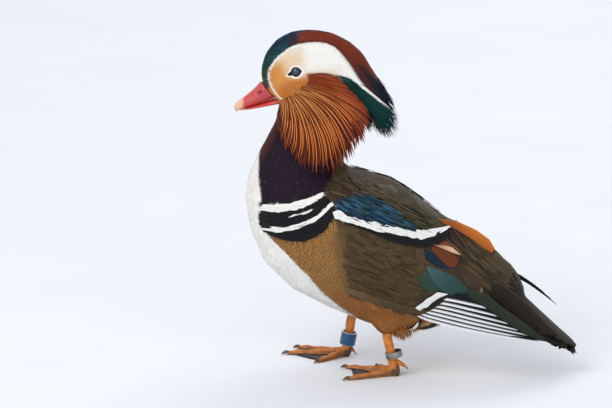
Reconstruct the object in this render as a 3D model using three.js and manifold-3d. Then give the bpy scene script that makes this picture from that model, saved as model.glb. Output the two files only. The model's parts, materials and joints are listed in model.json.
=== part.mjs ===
// A life-size mandarin drake standing on both feet, neck raised, wings folded, with a ring on each leg.
// Millimetres, +Z up. The bird faces -Y, its left side is +X, and it stands on the plane Z = 0.
// The origin is on the floor, under the middle of the bird's length and width.
import * as THREE from "three";
import { mergeVertices } from "three/addons/utils/BufferGeometryUtils.js";
import Module from "manifold-3d";

const wasm = await Module();
wasm.setup();

// Driving dimensions
const GAP = 0.3; // clearance between touching pieces
const BODY_SIDES = 20; // facets round the body
const CORE_SIDES = 12; // and round what the plates lie on
const HEAD_SIDES = 16;
const COAT_PLATE = 8; // depth of the wing and flank plates at the side of the body
const EYE_RADIUS = 5.2;
const EYE_CENTRE = [12.6, -95.4, 268.6];
const EYE_SINK = 0.6; // how much wider than the eye its socket is cut
const TARSUS_HALF_WIDTH = 3.2;
const WEB_BOTTOM = 0.5;
const WEB_TOP = 1.7;
const CLAW_LENGTH = 6.5;
const LEFT_ANKLE = [28, -6]; // where the left toes meet, x and y
const RIGHT_ANKLE = [-28, -58];

const PLUMAGE = {
  white: 0xf2f0ec,
  maroon: 0x35202f,
  gold: 0xb08545,
  brown: 0x5a4a38,
  teal: 0x2f6a72,
  blue: 0x27506b,
  green: 0x16443f,
  copper: 0x8a3b1c,
  orange: 0xc9742c,
  black: 0x17181b,
};

function feather(colour) {
  return new THREE.MeshStandardMaterial({ color: colour, roughness: 0.75, metalness: 0 });
}

function hard(colour, roughness, metalness = 0) {
  return new THREE.MeshStandardMaterial({ color: colour, roughness, metalness });
}

// Lofted solids

// A station is one cross-section. low and high are the ends of its chord in the plane x, as [y, z].
// half is its half-width, lift moves the widest point towards high, and the two round values shape
// each end of the chord: 1 is an ellipse, more is sharper, less is blunter.
function stationPoint(spec, key) {
  const point = spec[key];
  return point.length === 3 ? new THREE.Vector3(...point) : new THREE.Vector3(spec.x ?? 0, ...point);
}

// A closed solid through the stations, in order. grow makes it larger all round by that many millimetres.
function loft(stations, { sides = HEAD_SIDES, rings = 1, grow = 0, side = [1, 0, 0] } = {}) {
  const line = (points) => new THREE.CatmullRomCurve3(points, false, "centripetal");
  const even = (points) => new THREE.CatmullRomCurve3(points, false, "catmullrom", 0.5);
  const lows = even(stations.map((s) => stationPoint(s, "low")));
  const highs = even(stations.map((s) => stationPoint(s, "high")));
  const sizes = even(stations.map((s) => new THREE.Vector3(s.half, s.lift ?? 0, 0)));
  const rounds = even(stations.map((s) => new THREE.Vector3(s.lowRound ?? 1, s.highRound ?? 1, 0)));
  const path = line(stations.map((s) => stationPoint(s, "low").add(stationPoint(s, "high")).multiplyScalar(0.5)));
  const across = new THREE.Vector3(...side).normalize();
  const count = (stations.length - 1) * rings;
  const first = path.getPoint(0).sub(path.getPoint(0.01)).setLength(grow);
  const last = path.getPoint(1).sub(path.getPoint(0.99)).setLength(grow);
  const positions = [];
  for (let i = 0; i <= count; i++) {
    const t = i / count;
    const low = lows.getPoint(t);
    const high = highs.getPoint(t);
    const chord = high.clone().sub(low);
    const reach = chord.clone().setLength(grow);
    low.sub(reach);
    chord.addScaledVector(reach, 2);
    const { x: half, y: lift } = sizes.getPoint(t);
    const { x: lowRound, y: highRound } = rounds.getPoint(t);
    const shift = i === 0 ? first : i === count ? last : new THREE.Vector3();
    for (let j = 0; j < sides; j++) {
      const angle = (2 * Math.PI * j) / sides;
      const sine = Math.sin(angle);
      const along = (1 - Math.cos(angle)) / 2;
      const round = THREE.MathUtils.lerp(lowRound, highRound, along);
      const out = Math.sign(sine) * Math.abs(sine) ** round * (Math.max(half, 0.05) + grow);
      const point = low.clone().addScaledVector(chord, along + lift * sine * sine);
      point.addScaledVector(across, out).add(shift);
      positions.push(point.x, point.y, point.z);
    }
  }
  const faces = [];
  for (let i = 0; i < count; i++) {
    for (let j = 0; j < sides; j++) {
      const k = (j + 1) % sides;
      const [a, b, c, d] = [i * sides + j, i * sides + k, (i + 1) * sides + j, (i + 1) * sides + k];
      faces.push(a, b, c, b, d, c);
    }
  }
  for (let j = 1; j < sides - 1; j++) {
    const end = count * sides;
    faces.push(0, j + 1, j, end, end + j, end + j + 1);
  }
  return closedSolid(positions, faces);
}

function closedSolid(positions, faces) {
  const make = (triangles) =>
    new wasm.Manifold(
      new wasm.Mesh({
        numProp: 3,
        vertProperties: new Float32Array(positions),
        triVerts: new Uint32Array(triangles),
      }),
    );
  const solid = make(faces);
  if (solid.volume() > 0) return solid;
  const turned = [];
  for (let i = 0; i < faces.length; i += 3) turned.push(faces[i], faces[i + 2], faces[i + 1]);
  return make(turned);
}

function solidOf(geometry) {
  const plain = geometry.clone();
  plain.deleteAttribute("normal");
  plain.deleteAttribute("uv");
  const merged = mergeVertices(plain, 1e-3);
  return closedSolid(merged.attributes.position.array, merged.index.array);
}

// A side-view outline of [y, z] corners, extruded along X from x0 to x1. margin moves every edge outwards.
function prism(outline, x0, x1, margin = 0) {
  const corners = outline.map((p) => new THREE.Vector2(...p));
  const turn = THREE.ShapeUtils.area(corners) > 0 ? 1 : -1;
  const moved = corners.map((p, i) => {
    const before = corners[(i + corners.length - 1) % corners.length];
    const after = corners[(i + 1) % corners.length];
    const edge = p.clone().sub(before).normalize().add(after.clone().sub(p).normalize()).normalize();
    return new THREE.Vector2(edge.y, -edge.x).multiplyScalar(turn * margin).add(p);
  });
  const depth = x1 - x0;
  const block = new THREE.ExtrudeGeometry(new THREE.Shape(moved), { depth, bevelEnabled: false, steps: 1 });
  // the shape's plane becomes YZ and its depth runs along X
  block.applyMatrix4(new THREE.Matrix4().set(0, 0, 1, x0, 1, 0, 0, 0, 0, 1, 0, 0, 0, 0, 0, 1));
  return solidOf(block);
}

function mirrored(solid) {
  const mesh = solid.getMesh();
  const positions = Array.from(mesh.vertProperties, (v, i) => (i % 3 === 0 ? -v : v));
  return closedSolid(positions, Array.from(mesh.triVerts));
}

function joined(...solids) {
  return solids.reduce((whole, piece) => whole.add(piece));
}

function largest(solid) {
  const pieces = solid.decompose();
  return pieces.reduce((best, piece) => (piece.volume() > best.volume() ? piece : best));
}

// Body

// From the neck, inside the head, down the breast and back along the trunk to the root of the tail.
// low runs down the throat and along the belly, high down the nape and along the back.
const BODY = [
  { low: [-112, 238], high: [-66, 242], half: 19 },
  { low: [-115.5, 221], high: [-62, 219], half: 21 },
  { low: [-123.5, 205], high: [-58, 201], half: 25 },
  { low: [-132.5, 188], high: [-56, 184], half: 32 },
  { low: [-140, 172], high: [-47, 176], half: 41 },
  { low: [-143, 152], high: [-31, 174], half: 49 },
  { low: [-139, 123], high: [-10, 169], half: 54.5 },
  { low: [-126, 94], high: [8, 158], half: 57.5, highRound: 1.05 },
  { low: [-101.5, 70.5], high: [26, 144], half: 58, highRound: 1.1 },
  { low: [-70, 55], high: [46, 131.5], half: 55, highRound: 1.15 },
  { low: [-40, 43], high: [66, 119], half: 49.5, highRound: 1.15 },
  { low: [-9, 33], high: [83, 105], half: 42, highRound: 1.15 },
  { low: [18, 36], high: [95, 90], half: 33, highRound: 1.1 },
  { low: [42, 48], high: [102, 78], half: 24 },
  { low: [60, 57], high: [104, 71], half: 14 },
];

function bodyLoft(grow = 0) {
  return loft(BODY, { sides: BODY_SIDES, grow });
}

// What is left of the body under the wing and flank plates.
function coreLoft(grow = 0) {
  const stations = BODY.map((s) => ({ ...s, half: Math.max(s.half - COAT_PLATE, 4) }));
  return loft(stations, { sides: CORE_SIDES, grow });
}

// Side-view outlines of the plates on the left side, as [y, z].
const SCAPULARS = [
  [-61, 152], [-50, 143.5], [-20, 132], [6, 126], [28, 128], [44, 137],
  [24, 153], [-4, 167], [-38, 174], [-55, 170],
];
const WING = [
  [-50, 143.5], [-20, 132], [6, 126], [28, 128], [28, 117.5], [41, 107.5], [61, 90.5],
  [78, 77.5], [36, 80], [15, 65], [12, 57.5], [-16, 64.5], [-44, 73.5], [-52, 95], [-54, 118],
];
const TERTIALS = [
  [28, 128], [44, 137], [61, 124], [77, 113], [90, 101], [101, 90], [106, 78],
  [98, 71], [78, 77.5], [61, 90.5], [41, 107.5], [28, 117.5],
];
const FLANK = [
  [-113, 120], [-80, 85], [-62, 70], [-43, 54], [-20, 44], [8, 42], [36, 54],
  [12, 57.5], [-16, 64.5], [-44, 73.5], [-52, 95], [-54, 118], [-50, 143.5], [-69, 129], [-87, 125],
];
const PLATE_OUTLINES = { scapulars: SCAPULARS, wing: WING, tertials: TERTIALS, flank: FLANK };
const PLATE_INNER_X = 6;
const PLATE_OUTER_X = 80;

// Cuts across the body, as side-view areas: the neck is above, the breast in front.
const NECK_AREA = [[-220, 187], [60, 187], [60, 330], [-220, 330]];
const BREAST_AREA = [[-220, 187], [-220, 112], [-129, 112], [-66, 152], [-61, 174], [-40, 187]];
const WIDE = 120;

function bodyPieces() {
  const body = bodyLoft();
  const core = coreLoft(GAP);
  const pieces = {};
  for (const [name, outline] of Object.entries(PLATE_OUTLINES)) {
    const block = prism(outline, PLATE_INNER_X, PLATE_OUTER_X, -GAP / 2);
    const plate = largest(body.intersect(block).subtract(core));
    pieces[`${name}_left`] = plate;
    pieces[`${name}_right`] = mirrored(plate);
  }
  const holes = Object.values(PLATE_OUTLINES).map((o) => prism(o, PLATE_INNER_X, PLATE_OUTER_X, GAP / 2));
  const pocket = joined(...holes).subtract(coreLoft());
  const rest = body.subtract(pocket).subtract(mirrored(pocket));
  const neckArea = prism(NECK_AREA, -WIDE, WIDE);
  const breastArea = prism(BREAST_AREA, -WIDE, WIDE);
  pieces.neck = largest(rest.intersect(neckArea).subtract(headLoft(GAP)));
  const below = rest.subtract(prism(NECK_AREA, -WIDE, WIDE, GAP));
  pieces.breast = largest(below.intersect(breastArea));
  pieces.trunk = largest(below.subtract(prism(BREAST_AREA, -WIDE, WIDE, GAP)));
  return pieces;
}

// Head

// Chords run from the throat side to the crown side, from the forehead back to the end of the crest.
const HEAD = [
  { low: [-113, 240], high: [-128, 256], half: 9, lift: -0.04 },
  { low: [-108, 236], high: [-128.5, 268], half: 13.5, lift: -0.06, highRound: 1.3 },
  { low: [-99, 233], high: [-124.5, 282], half: 16.2, lift: -0.08, highRound: 1.5 },
  { low: [-88, 230], high: [-115, 294.5], half: 17.8, lift: -0.1, highRound: 1.5 },
  { low: [-76, 229], high: [-101, 302], half: 18.6, lift: -0.1, highRound: 1.4 },
  { low: [-65, 231], high: [-84, 304], half: 18.4, lift: -0.08, highRound: 1.3 },
  { low: [-55, 234], high: [-67, 301.8], half: 17.2, lift: -0.05, highRound: 1.2 },
  { low: [-47, 236], high: [-51.5, 294.6], half: 15.6, highRound: 1.1 },
  { low: [-40, 234], high: [-39.5, 284], half: 14 },
  { low: [-34, 229], high: [-30, 268], half: 12.6 },
  { low: [-29, 222], high: [-21, 252.5], half: 11.2 },
  { low: [-23, 216], high: [-13.5, 239], half: 9.4 },
  { low: [-16, 213], high: [-8.5, 227], half: 6.6 },
  { low: [-10, 213.5], high: [-7, 218.5], half: 2.6 },
];

function headLoft(grow = 0) {
  return loft(HEAD, { grow });
}

const CREST = [
  [-140, 256.5], [-121.2, 258.5], [-121.2, 266.5], [-118.4, 272.5], [-113, 279.2], [-106.7, 285], [-99.3, 290],
  [-90.7, 293], [-72.6, 293.8], [-59.2, 288.8], [-49.7, 277.6], [-34.9, 259.4], [-21.4, 246], [-10, 237.5],
  [5, 229], [5, 330], [-140, 330],
];
const NAPE = [
  [-61, 265.5], [-50, 264.2], [-43, 259], [-35, 251], [-25, 242], [-12, 231.5], [5, 222],
  [5, 200], [-26, 200], [-32, 224], [-33, 234], [-40, 244], [-48, 253],
];
const RUFF = [
  [-111, 243], [-87, 256], [-64, 264], [-48, 250.5], [-34, 232], [-33, 224], [-38, 216.5],
  [-53, 203], [-55, 193], [-62, 187.5], [-72, 185], [-82, 187], [-100, 206], [-111, 229],
];
const RUFF_LOFT = [
  { low: [-106, 268], high: [-52, 274], half: 17.6, lowRound: 0.6, highRound: 0.6 },
  { low: [-112, 256], high: [-44, 262], half: 19.4, lowRound: 0.6, highRound: 0.6 },
  { low: [-117, 243], high: [-30, 250], half: 22.4, lowRound: 0.7, highRound: 0.6 },
  { low: [-120, 229], high: [-24, 232], half: 26.5, lowRound: 0.8, highRound: 0.6 },
  { low: [-122, 215], high: [-28, 214], half: 31, lowRound: 0.8, highRound: 0.6 },
  { low: [-124, 200], high: [-40, 197], half: 35.5, lowRound: 0.8, highRound: 0.6 },
  { low: [-118, 187], high: [-46, 184], half: 39.5, lowRound: 0.8, highRound: 0.7 },
  { low: [-108, 178], high: [-56, 177], half: 41.5, lowRound: 0.8, highRound: 0.8 },
];
const RUFF_INNER_X = 9;
const RUFF_OUTER_X = 60;
const RUFF_SIDES = 12;

function headPieces() {
  const head = headLoft();
  const socket = solidOf(new THREE.SphereGeometry(EYE_RADIUS + GAP + EYE_SINK, 10, 6).translate(...EYE_CENTRE));
  const crest = prism(CREST, -WIDE, WIDE, -GAP / 2);
  const nape = prism(NAPE, -WIDE, WIDE, -GAP / 2);
  const crestHole = prism(CREST, -WIDE, WIDE, GAP / 2);
  const napeHole = prism(NAPE, -WIDE, WIDE, GAP / 2);
  const face = head.subtract(crestHole).subtract(napeHole).subtract(socket).subtract(mirrored(socket));
  const ruffShell = loft(RUFF_LOFT, { sides: RUFF_SIDES }).subtract(headLoft(GAP)).subtract(bodyLoft(GAP));
  const ruff = largest(ruffShell.intersect(prism(RUFF, RUFF_INNER_X, RUFF_OUTER_X)));
  return {
    head: largest(face),
    crest: largest(head.intersect(crest)),
    nape_plume: largest(head.intersect(nape).subtract(bodyLoft(GAP))),
    ruff_left: ruff,
    ruff_right: mirrored(ruff),
  };
}

// Bill, from the forehead to the hooked nail at the tip
const UPPER_BILL = [
  { low: [-108, 244], high: [-120, 260], half: 8 },
  { low: [-115.5, 240.5], high: [-129.5, 254], half: 8.3 },
  { low: [-124, 237.2], high: [-135, 248], half: 7.7 },
  { low: [-133, 234], high: [-141, 242.5], half: 6.9, highRound: 0.9 },
  { low: [-141, 231.4], high: [-146.5, 238], half: 6, highRound: 0.85 },
  { low: [-147, 229.6], high: [-150.2, 235], half: 4.8, highRound: 0.8 },
  { low: [-150.6, 226.9], high: [-152.2, 231.6], half: 2.6 },
];
const LOWER_BILL = [
  { low: [-108, 236], high: [-108.5, 241], half: 6.6 },
  { low: [-116, 234.6], high: [-117, 239.4], half: 7 },
  { low: [-126, 232.2], high: [-127, 235.9], half: 6.2 },
  { low: [-137, 229.8], high: [-138, 232.2], half: 5.2 },
  { low: [-145, 228.4], high: [-145.5, 230.1], half: 4 },
  { low: [-147.6, 228.4], high: [-147.8, 229.2], half: 2 },
];
const BILL_SIDES = 12;
const LOWER_BILL_SIDES = 8;

function billPieces() {
  const head = headLoft(GAP);
  const upper = loft(UPPER_BILL, { sides: BILL_SIDES });
  const lower = loft(LOWER_BILL, { sides: LOWER_BILL_SIDES });
  const neck = bodyLoft(GAP);
  const ruffBlock = prism(RUFF, RUFF_INNER_X - 6, RUFF_OUTER_X, GAP);
  const clear = joined(head, neck, ruffBlock, mirrored(ruffBlock));
  const upperHole = loft(UPPER_BILL, { sides: BILL_SIDES, grow: GAP });
  return {
    bill_upper: largest(upper.subtract(clear)),
    bill_lower: largest(lower.subtract(clear).subtract(upperHole)),
  };
}

// Tail and wing ends

const TAIL = [
  { low: [64, 58], high: [86, 84], half: 19 },
  { low: [88, 52], high: [100, 71], half: 23.5 },
  { low: [108, 41], high: [117, 54], half: 25.5 },
  { low: [127, 30], high: [133, 39], half: 21.5 },
  { low: [142, 21.5], high: [146.5, 28], half: 13.5 },
  { low: [149.6, 17.2], high: [152.2, 21], half: 5 },
];
// The left wing's primaries stand on edge outside the tail. The right wing's lie flat, across above the tail.
const LEFT_PRIMARIES = [
  { x: 37, low: [12, 60], high: [30, 80], half: 4.4 },
  { x: 37, low: [46, 51.5], high: [58, 79], half: 4.2 },
  { x: 34.5, low: [80, 47.5], high: [86, 70], half: 3.4 },
  { x: 31.5, low: [106, 42.5], high: [110, 55], half: 2.4 },
  { x: 28, low: [123, 37], high: [126, 43.5], half: 1.5 },
  { x: 26, low: [129.5, 34.5], high: [131, 37], half: 0.8 },
];
const RIGHT_PRIMARIES = [
  { low: [-44, 24, 74], high: [-26, 22, 84], half: 3.2 },
  { low: [-41, 52, 76], high: [-24, 54, 86], half: 2.6 },
  { low: [-36, 78, 76], high: [-21, 82, 83], half: 1.9 },
  { low: [-30, 100, 71], high: [-17.5, 104, 75.5], half: 1.4 },
  { low: [-23, 120, 61.5], high: [-15, 123, 64], half: 1 },
  { low: [-18, 131.5, 54.2], high: [-15, 132.5, 55.2], half: 0.6 },
];
const RIGHT_PRIMARIES_NORMAL = [-0.21, 0.65, 0.78];
const SAIL = [
  { low: [12, 32, 133], high: [4, 31, 139], half: 0.9 },
  { low: [14, 49, 124.5], high: [2.4, 46, 138.5], half: 1.1 },
  { low: [14, 64, 114], high: [2, 61, 131.5], half: 1.1 },
  { low: [12.5, 75, 106.5], high: [2, 74, 123], half: 1.1 },
  { low: [10, 79.5, 106], high: [3.4, 80.5, 116.5], half: 0.9 },
  { low: [7.5, 81.5, 108.5], high: [5.5, 81.8, 112], half: 0.6 },
];
const SAIL_NORMAL = [0.78, 0.2, 0.6];
const BLADE_SIDES = 8;
const TAIL_SIDES = 12;

function tailPieces() {
  const body = bodyLoft(GAP);
  const tail = largest(loft(TAIL, { sides: TAIL_SIDES }).subtract(body));
  const tailHole = loft(TAIL, { sides: TAIL_SIDES, grow: GAP });
  const blade = (stations, side) =>
    largest(loft(stations, { sides: BLADE_SIDES, side }).subtract(body).subtract(tailHole));
  const sail = largest(loft(SAIL, { sides: BLADE_SIDES, side: SAIL_NORMAL }).subtract(body));
  return {
    tail,
    primaries_left: blade(LEFT_PRIMARIES),
    primaries_right: blade(RIGHT_PRIMARIES, RIGHT_PRIMARIES_NORMAL),
    sail_left: sail,
    sail_right: mirrored(sail),
  };
}

// Legs

const LEFT_THIGH = [
  { x: 23, low: [-42, 64], high: [16, 66], half: 15 },
  { x: 25, low: [-32, 49], high: [7, 51], half: 12 },
  { x: 27, low: [-22, 40], high: [-4, 41], half: 7 },
  { x: 28, low: [-19, 36.5], high: [-8, 37], half: 5 },
];
const RIGHT_THIGH = [
  { x: -23, low: [-78, 76], high: [-20, 70], half: 15 },
  { x: -25, low: [-68, 56], high: [-33, 54], half: 12 },
  { x: -27, low: [-60, 43.5], high: [-42, 43], half: 7 },
  { x: -28, low: [-57, 37.5], high: [-46.5, 37], half: 5 },
];
// The bare shank, from the feathers down to the joint of the toes: front and back of each section.
const LEFT_SHANK = [
  { low: [-18, 42], high: [-9.4, 42.4], half: TARSUS_HALF_WIDTH + 0.4 },
  { low: [-16.6, 32], high: [-8.4, 32.6], half: TARSUS_HALF_WIDTH },
  { low: [-13.6, 20], high: [-5.6, 20.8], half: TARSUS_HALF_WIDTH },
  { low: [-12, 11], high: [-3, 11.4], half: TARSUS_HALF_WIDTH + 0.6 },
  { low: [-12.2, 5], high: [-1.4, 5.2], half: TARSUS_HALF_WIDTH + 1.4, lowRound: 0.8, highRound: 0.8 },
  { low: [-11, 0.6], high: [-2, 0], half: TARSUS_HALF_WIDTH + 0.9, lowRound: 0.8, highRound: 0.8 },
];
const SHANK_TOP = 40; // height where a shank enters its feathers
const RIGHT_LEAN = 14.5; // how much further back than the left one's the top of the right shank is
const LEG_SIDES = 9;

function shank(left) {
  const [x, y] = left ? LEFT_ANKLE : RIGHT_ANKLE;
  const shift = y - LEFT_ANKLE[1];
  const lean = left ? 0 : RIGHT_LEAN / SHANK_TOP;
  const placed = ([along, up]) => [along + shift + lean * up, up];
  return LEFT_SHANK.map((s) => ({ ...s, x, low: placed(s.low), high: placed(s.high) }));
}

// Toes. heading is degrees from straight ahead, positive towards the bird's left.
const TOES = {
  left: { inner: [-50, 28], middle: [-19, 48], outer: [29, 44], hind: [174, 5] },
  right: { inner: [51, 32], middle: [3, 51], outer: [-21, 47], hind: [172, 4] },
};
const GROUND = [[-220, 0], [220, 0], [220, -40], [-220, -40]];
const TOE_SIDES = 8;
const CLAW_SIDES = 6;

function headingOf(degrees) {
  const angle = THREE.MathUtils.degToRad(degrees);
  return new THREE.Vector2(Math.sin(angle), -Math.cos(angle));
}

// Stations of a front toe: knuckles at even steps, from the ankle out to the claw.
function toeStations(ankle, heading, length) {
  const way = headingOf(heading);
  const sections = [
    [0, 8.6, 3.4],
    [0.3, 6, 2.7],
    [0.48, 6, 3.1],
    [0.64, 4.6, 2.4],
    [0.82, 4.9, 2.8],
    [1, 2.8, 1.4],
  ];
  return sections.map(([share, top, half]) => {
    const x = ankle[0] + way.x * length * share;
    const y = ankle[1] + way.y * length * share;
    return { low: [x, y, -1.2], high: [x, y, top], half };
  });
}

function clawStations(ankle, heading, length) {
  const way = headingOf(heading);
  const sections = [
    [-1.5, 1, 3.8, 1.5],
    [1.4, 0.9, 4, 1.4],
    [3.8, 0.6, 2.9, 0.9],
    [CLAW_LENGTH - 1, 0.2, 0.9, 0.4],
  ];
  return sections.map(([beyond, bottom, top, half]) => {
    const x = ankle[0] + way.x * (length + beyond);
    const y = ankle[1] + way.y * (length + beyond);
    return { low: [x, y, bottom], high: [x, y, top], half };
  });
}

// The hind toe leaves the back of the shank above the ground and points back and down.
function hindStations(ankle, heading, length, start, fall) {
  const way = headingOf(heading);
  const sections = [
    [-0.5, 2.2, 2],
    [0.2, 2, 1.9],
    [0.6, 1.6, 1.6],
    [0.95, 1.3, 1.2],
  ];
  return sections.map(([share, tall, half]) => {
    const x = ankle[0] + way.x * (length * share + 5);
    const y = ankle[1] + way.y * (length * share + 5);
    const z = start - fall * share;
    return { low: [x, y, z - tall], high: [x, y, z + tall], half };
  });
}

function hindClawStations(ankle, heading, length, start, fall) {
  const way = headingOf(heading);
  const sections = [
    [0.82, 0, 1, 0.9],
    [1.1, -0.7, 0.9, 0.8],
    [1.4, -1.5, 0.4, 0.35],
  ];
  return sections.map(([share, drop, tall, half]) => {
    const x = ankle[0] + way.x * (length * share + 5);
    const y = ankle[1] + way.y * (length * share + 5);
    const z = start - fall * share + drop;
    return { low: [x, y, z - tall], high: [x, y, z + tall], half };
  });
}

// The web between two toes: a flat plate with a hollow front edge.
function webSolid(ankle, first, second) {
  const reach = ([heading, length], share) => {
    const way = headingOf(heading);
    return new THREE.Vector2(ankle[0] + way.x * length * share, ankle[1] + way.y * length * share);
  };
  const a = reach(first, 0.86);
  const b = reach(second, 0.9);
  const hollow = reach([(first[0] + second[0]) / 2, (first[1] + second[1]) / 2], 0.8);
  const shape = new THREE.Shape();
  shape.moveTo(...ankle);
  shape.lineTo(a.x, a.y);
  shape.quadraticCurveTo(hollow.x, hollow.y, b.x, b.y);
  shape.closePath();
  const plate = new THREE.ExtrudeGeometry(shape, { depth: WEB_TOP - WEB_BOTTOM, bevelEnabled: false, curveSegments: 4 });
  return solidOf(plate.translate(0, 0, WEB_BOTTOM));
}

function acrossHeading(degrees) {
  const way = headingOf(degrees);
  return [-way.y, way.x, 0];
}

const HIND_TOE = { left: { start: 11.5, fall: 2.6 }, right: { start: 8.5, fall: 4 } };

function footPieces(which) {
  const ankle = which === "left" ? LEFT_ANKLE : RIGHT_ANKLE;
  const floor = prism(GROUND, -WIDE, WIDE);
  const toes = TOES[which];
  const shankStations = shank(which === "left");
  const shankHole = loft(shankStations, { sides: LEG_SIDES, grow: GAP });
  const pieces = {};
  let taken = shankHole;
  for (const name of ["middle", "outer", "inner"]) {
    const [heading, length] = toes[name];
    const side = acrossHeading(heading);
    const stations = toeStations(ankle, heading, length);
    const claw = clawStations(ankle, heading, length);
    const toe = loft(stations, { sides: TOE_SIDES, side }).subtract(floor);
    pieces[`toe_${which}_${name}`] = largest(toe.subtract(taken));
    const grown = loft(stations, { sides: TOE_SIDES, side, grow: GAP });
    taken = taken.add(grown);
    pieces[`claw_${which}_${name}`] = largest(loft(claw, { sides: CLAW_SIDES, side }).subtract(grown));
    taken = taken.add(loft(claw, { sides: CLAW_SIDES, side, grow: GAP }));
  }
  const [hindHeading, hindLength] = toes.hind;
  const { start, fall } = HIND_TOE[which];
  const hindSide = acrossHeading(hindHeading);
  const hind = hindStations(ankle, hindHeading, hindLength, start, fall);
  pieces[`toe_${which}_hind`] = largest(loft(hind, { sides: TOE_SIDES, side: hindSide }).subtract(shankHole));
  const hindHole = loft(hind, { sides: TOE_SIDES, side: hindSide, grow: GAP });
  const hindClaw = loft(hindClawStations(ankle, hindHeading, hindLength, start, fall), {
    sides: CLAW_SIDES,
    side: hindSide,
  });
  pieces[`claw_${which}_hind`] = largest(hindClaw.subtract(hindHole));
  pieces[`web_${which}_inner`] = largest(webSolid(ankle, toes.inner, toes.middle).subtract(taken));
  pieces[`web_${which}_outer`] = largest(webSolid(ankle, toes.outer, toes.middle).subtract(taken));
  return pieces;
}

// Leg rings: a metal one hangs loose on the left shank, a tall plastic one sits on the right shank.
const RINGS = {
  left: { inner: 6.7, outer: 7.5, height: 5.4, centre: [28, -7, 19.5], tilt: 13 },
  right: { inner: 5.6, outer: 6.9, height: 11.6, centre: [-28, -54.9, 16.8], tilt: -11 },
};
const RING_FACETS = 14;

function legRing({ inner, outer, height, centre, tilt }) {
  const edge = height / 2;
  const profile = [[inner, -edge], [outer, -edge], [outer, edge], [inner, edge], [inner, -edge]];
  const ring = new THREE.LatheGeometry(profile.map((p) => new THREE.Vector2(...p)), RING_FACETS);
  ring.rotateX(Math.PI / 2 + THREE.MathUtils.degToRad(tilt));
  ring.translate(...centre);
  return solidOf(ring);
}

function legPieces() {
  const body = bodyLoft(GAP);
  const pieces = {};
  for (const which of ["left", "right"]) {
    const stations = shank(which === "left");
    const thigh = loft(which === "left" ? LEFT_THIGH : RIGHT_THIGH, { sides: 12 });
    const shankHole = loft(stations, { sides: LEG_SIDES, grow: GAP });
    pieces[`thigh_${which}`] = largest(thigh.subtract(body).subtract(shankHole));
    const floor = prism(GROUND, -WIDE, WIDE);
    pieces[`shank_${which}`] = largest(loft(stations, { sides: LEG_SIDES }).subtract(floor));
    Object.assign(pieces, footPieces(which));
    pieces[`ring_${which}`] = legRing(RINGS[which]);
  }
  return pieces;
}

// Eyes

function eyePieces() {
  const eye = solidOf(new THREE.SphereGeometry(EYE_RADIUS, 12, 8).rotateZ(Math.PI / 2).translate(...EYE_CENTRE));
  return { eye_left: eye, eye_right: mirrored(eye) };
}

// Assembly

const MATERIALS = {
  neck: feather(PLUMAGE.maroon),
  breast: feather(PLUMAGE.maroon),
  trunk: feather(PLUMAGE.white),
  scapulars: feather(PLUMAGE.blue),
  wing: feather(PLUMAGE.brown),
  tertials: feather(PLUMAGE.brown),
  flank: feather(PLUMAGE.gold),
  head: feather(PLUMAGE.white),
  crest: feather(PLUMAGE.copper),
  nape_plume: feather(PLUMAGE.green),
  ruff: feather(PLUMAGE.copper),
  bill_upper: hard(0xc23b40, 0.35),
  bill_lower: hard(0xc8503a, 0.35),
  tail: feather(PLUMAGE.black),
  primaries: feather(PLUMAGE.black),
  sail: feather(PLUMAGE.orange),
  thigh: feather(PLUMAGE.gold),
  shank: hard(0xc9702f, 0.55),
  toe: hard(0xc9702f, 0.55),
  web: hard(0x3a3c40, 0.6),
  claw: hard(0x4a3428, 0.4),
  ring_left: hard(0x9a9a98, 0.4, 0.9),
  ring_right: hard(0x1d4f8c, 0.4),
  eye: hard(0x1a1210, 0.08),
};

function materialOf(name) {
  const key = Object.keys(MATERIALS).find((k) => name === k || name.startsWith(`${k}_`));
  return MATERIALS[name] ?? MATERIALS[key];
}

function meshOf(name, solid) {
  const { vertProperties, triVerts } = solid.getMesh();
  const geometry = new THREE.BufferGeometry();
  geometry.setAttribute("position", new THREE.BufferAttribute(new Float32Array(vertProperties), 3));
  geometry.setIndex(new THREE.BufferAttribute(new Uint32Array(triVerts), 1));
  geometry.computeVertexNormals();
  const mesh = new THREE.Mesh(geometry, materialOf(name));
  mesh.name = name;
  return mesh;
}

const duck = new THREE.Group();
for (const pieces of [bodyPieces(), headPieces(), billPieces(), eyePieces(), tailPieces(), legPieces()]) {
  for (const [name, solid] of Object.entries(pieces)) duck.add(meshOf(name, solid));
}

export default duck;
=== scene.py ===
"""A life-size mandarin drake, standing: skin, plumage, bill, eyes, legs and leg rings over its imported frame.

All shaping is done in millimetres in the frame's own axes: the bird faces -Y, its left side is +X and it stands
on Z = 0. Meshes are scaled to metres when they are made.
"""

import json
import logging
import math
from dataclasses import dataclass, field, replace
from enum import Enum
from typing import Callable, Iterable, Sequence

import bmesh
import bpy
import numpy as np
from mathutils import Matrix, Vector
from mathutils.bvhtree import BVHTree

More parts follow.
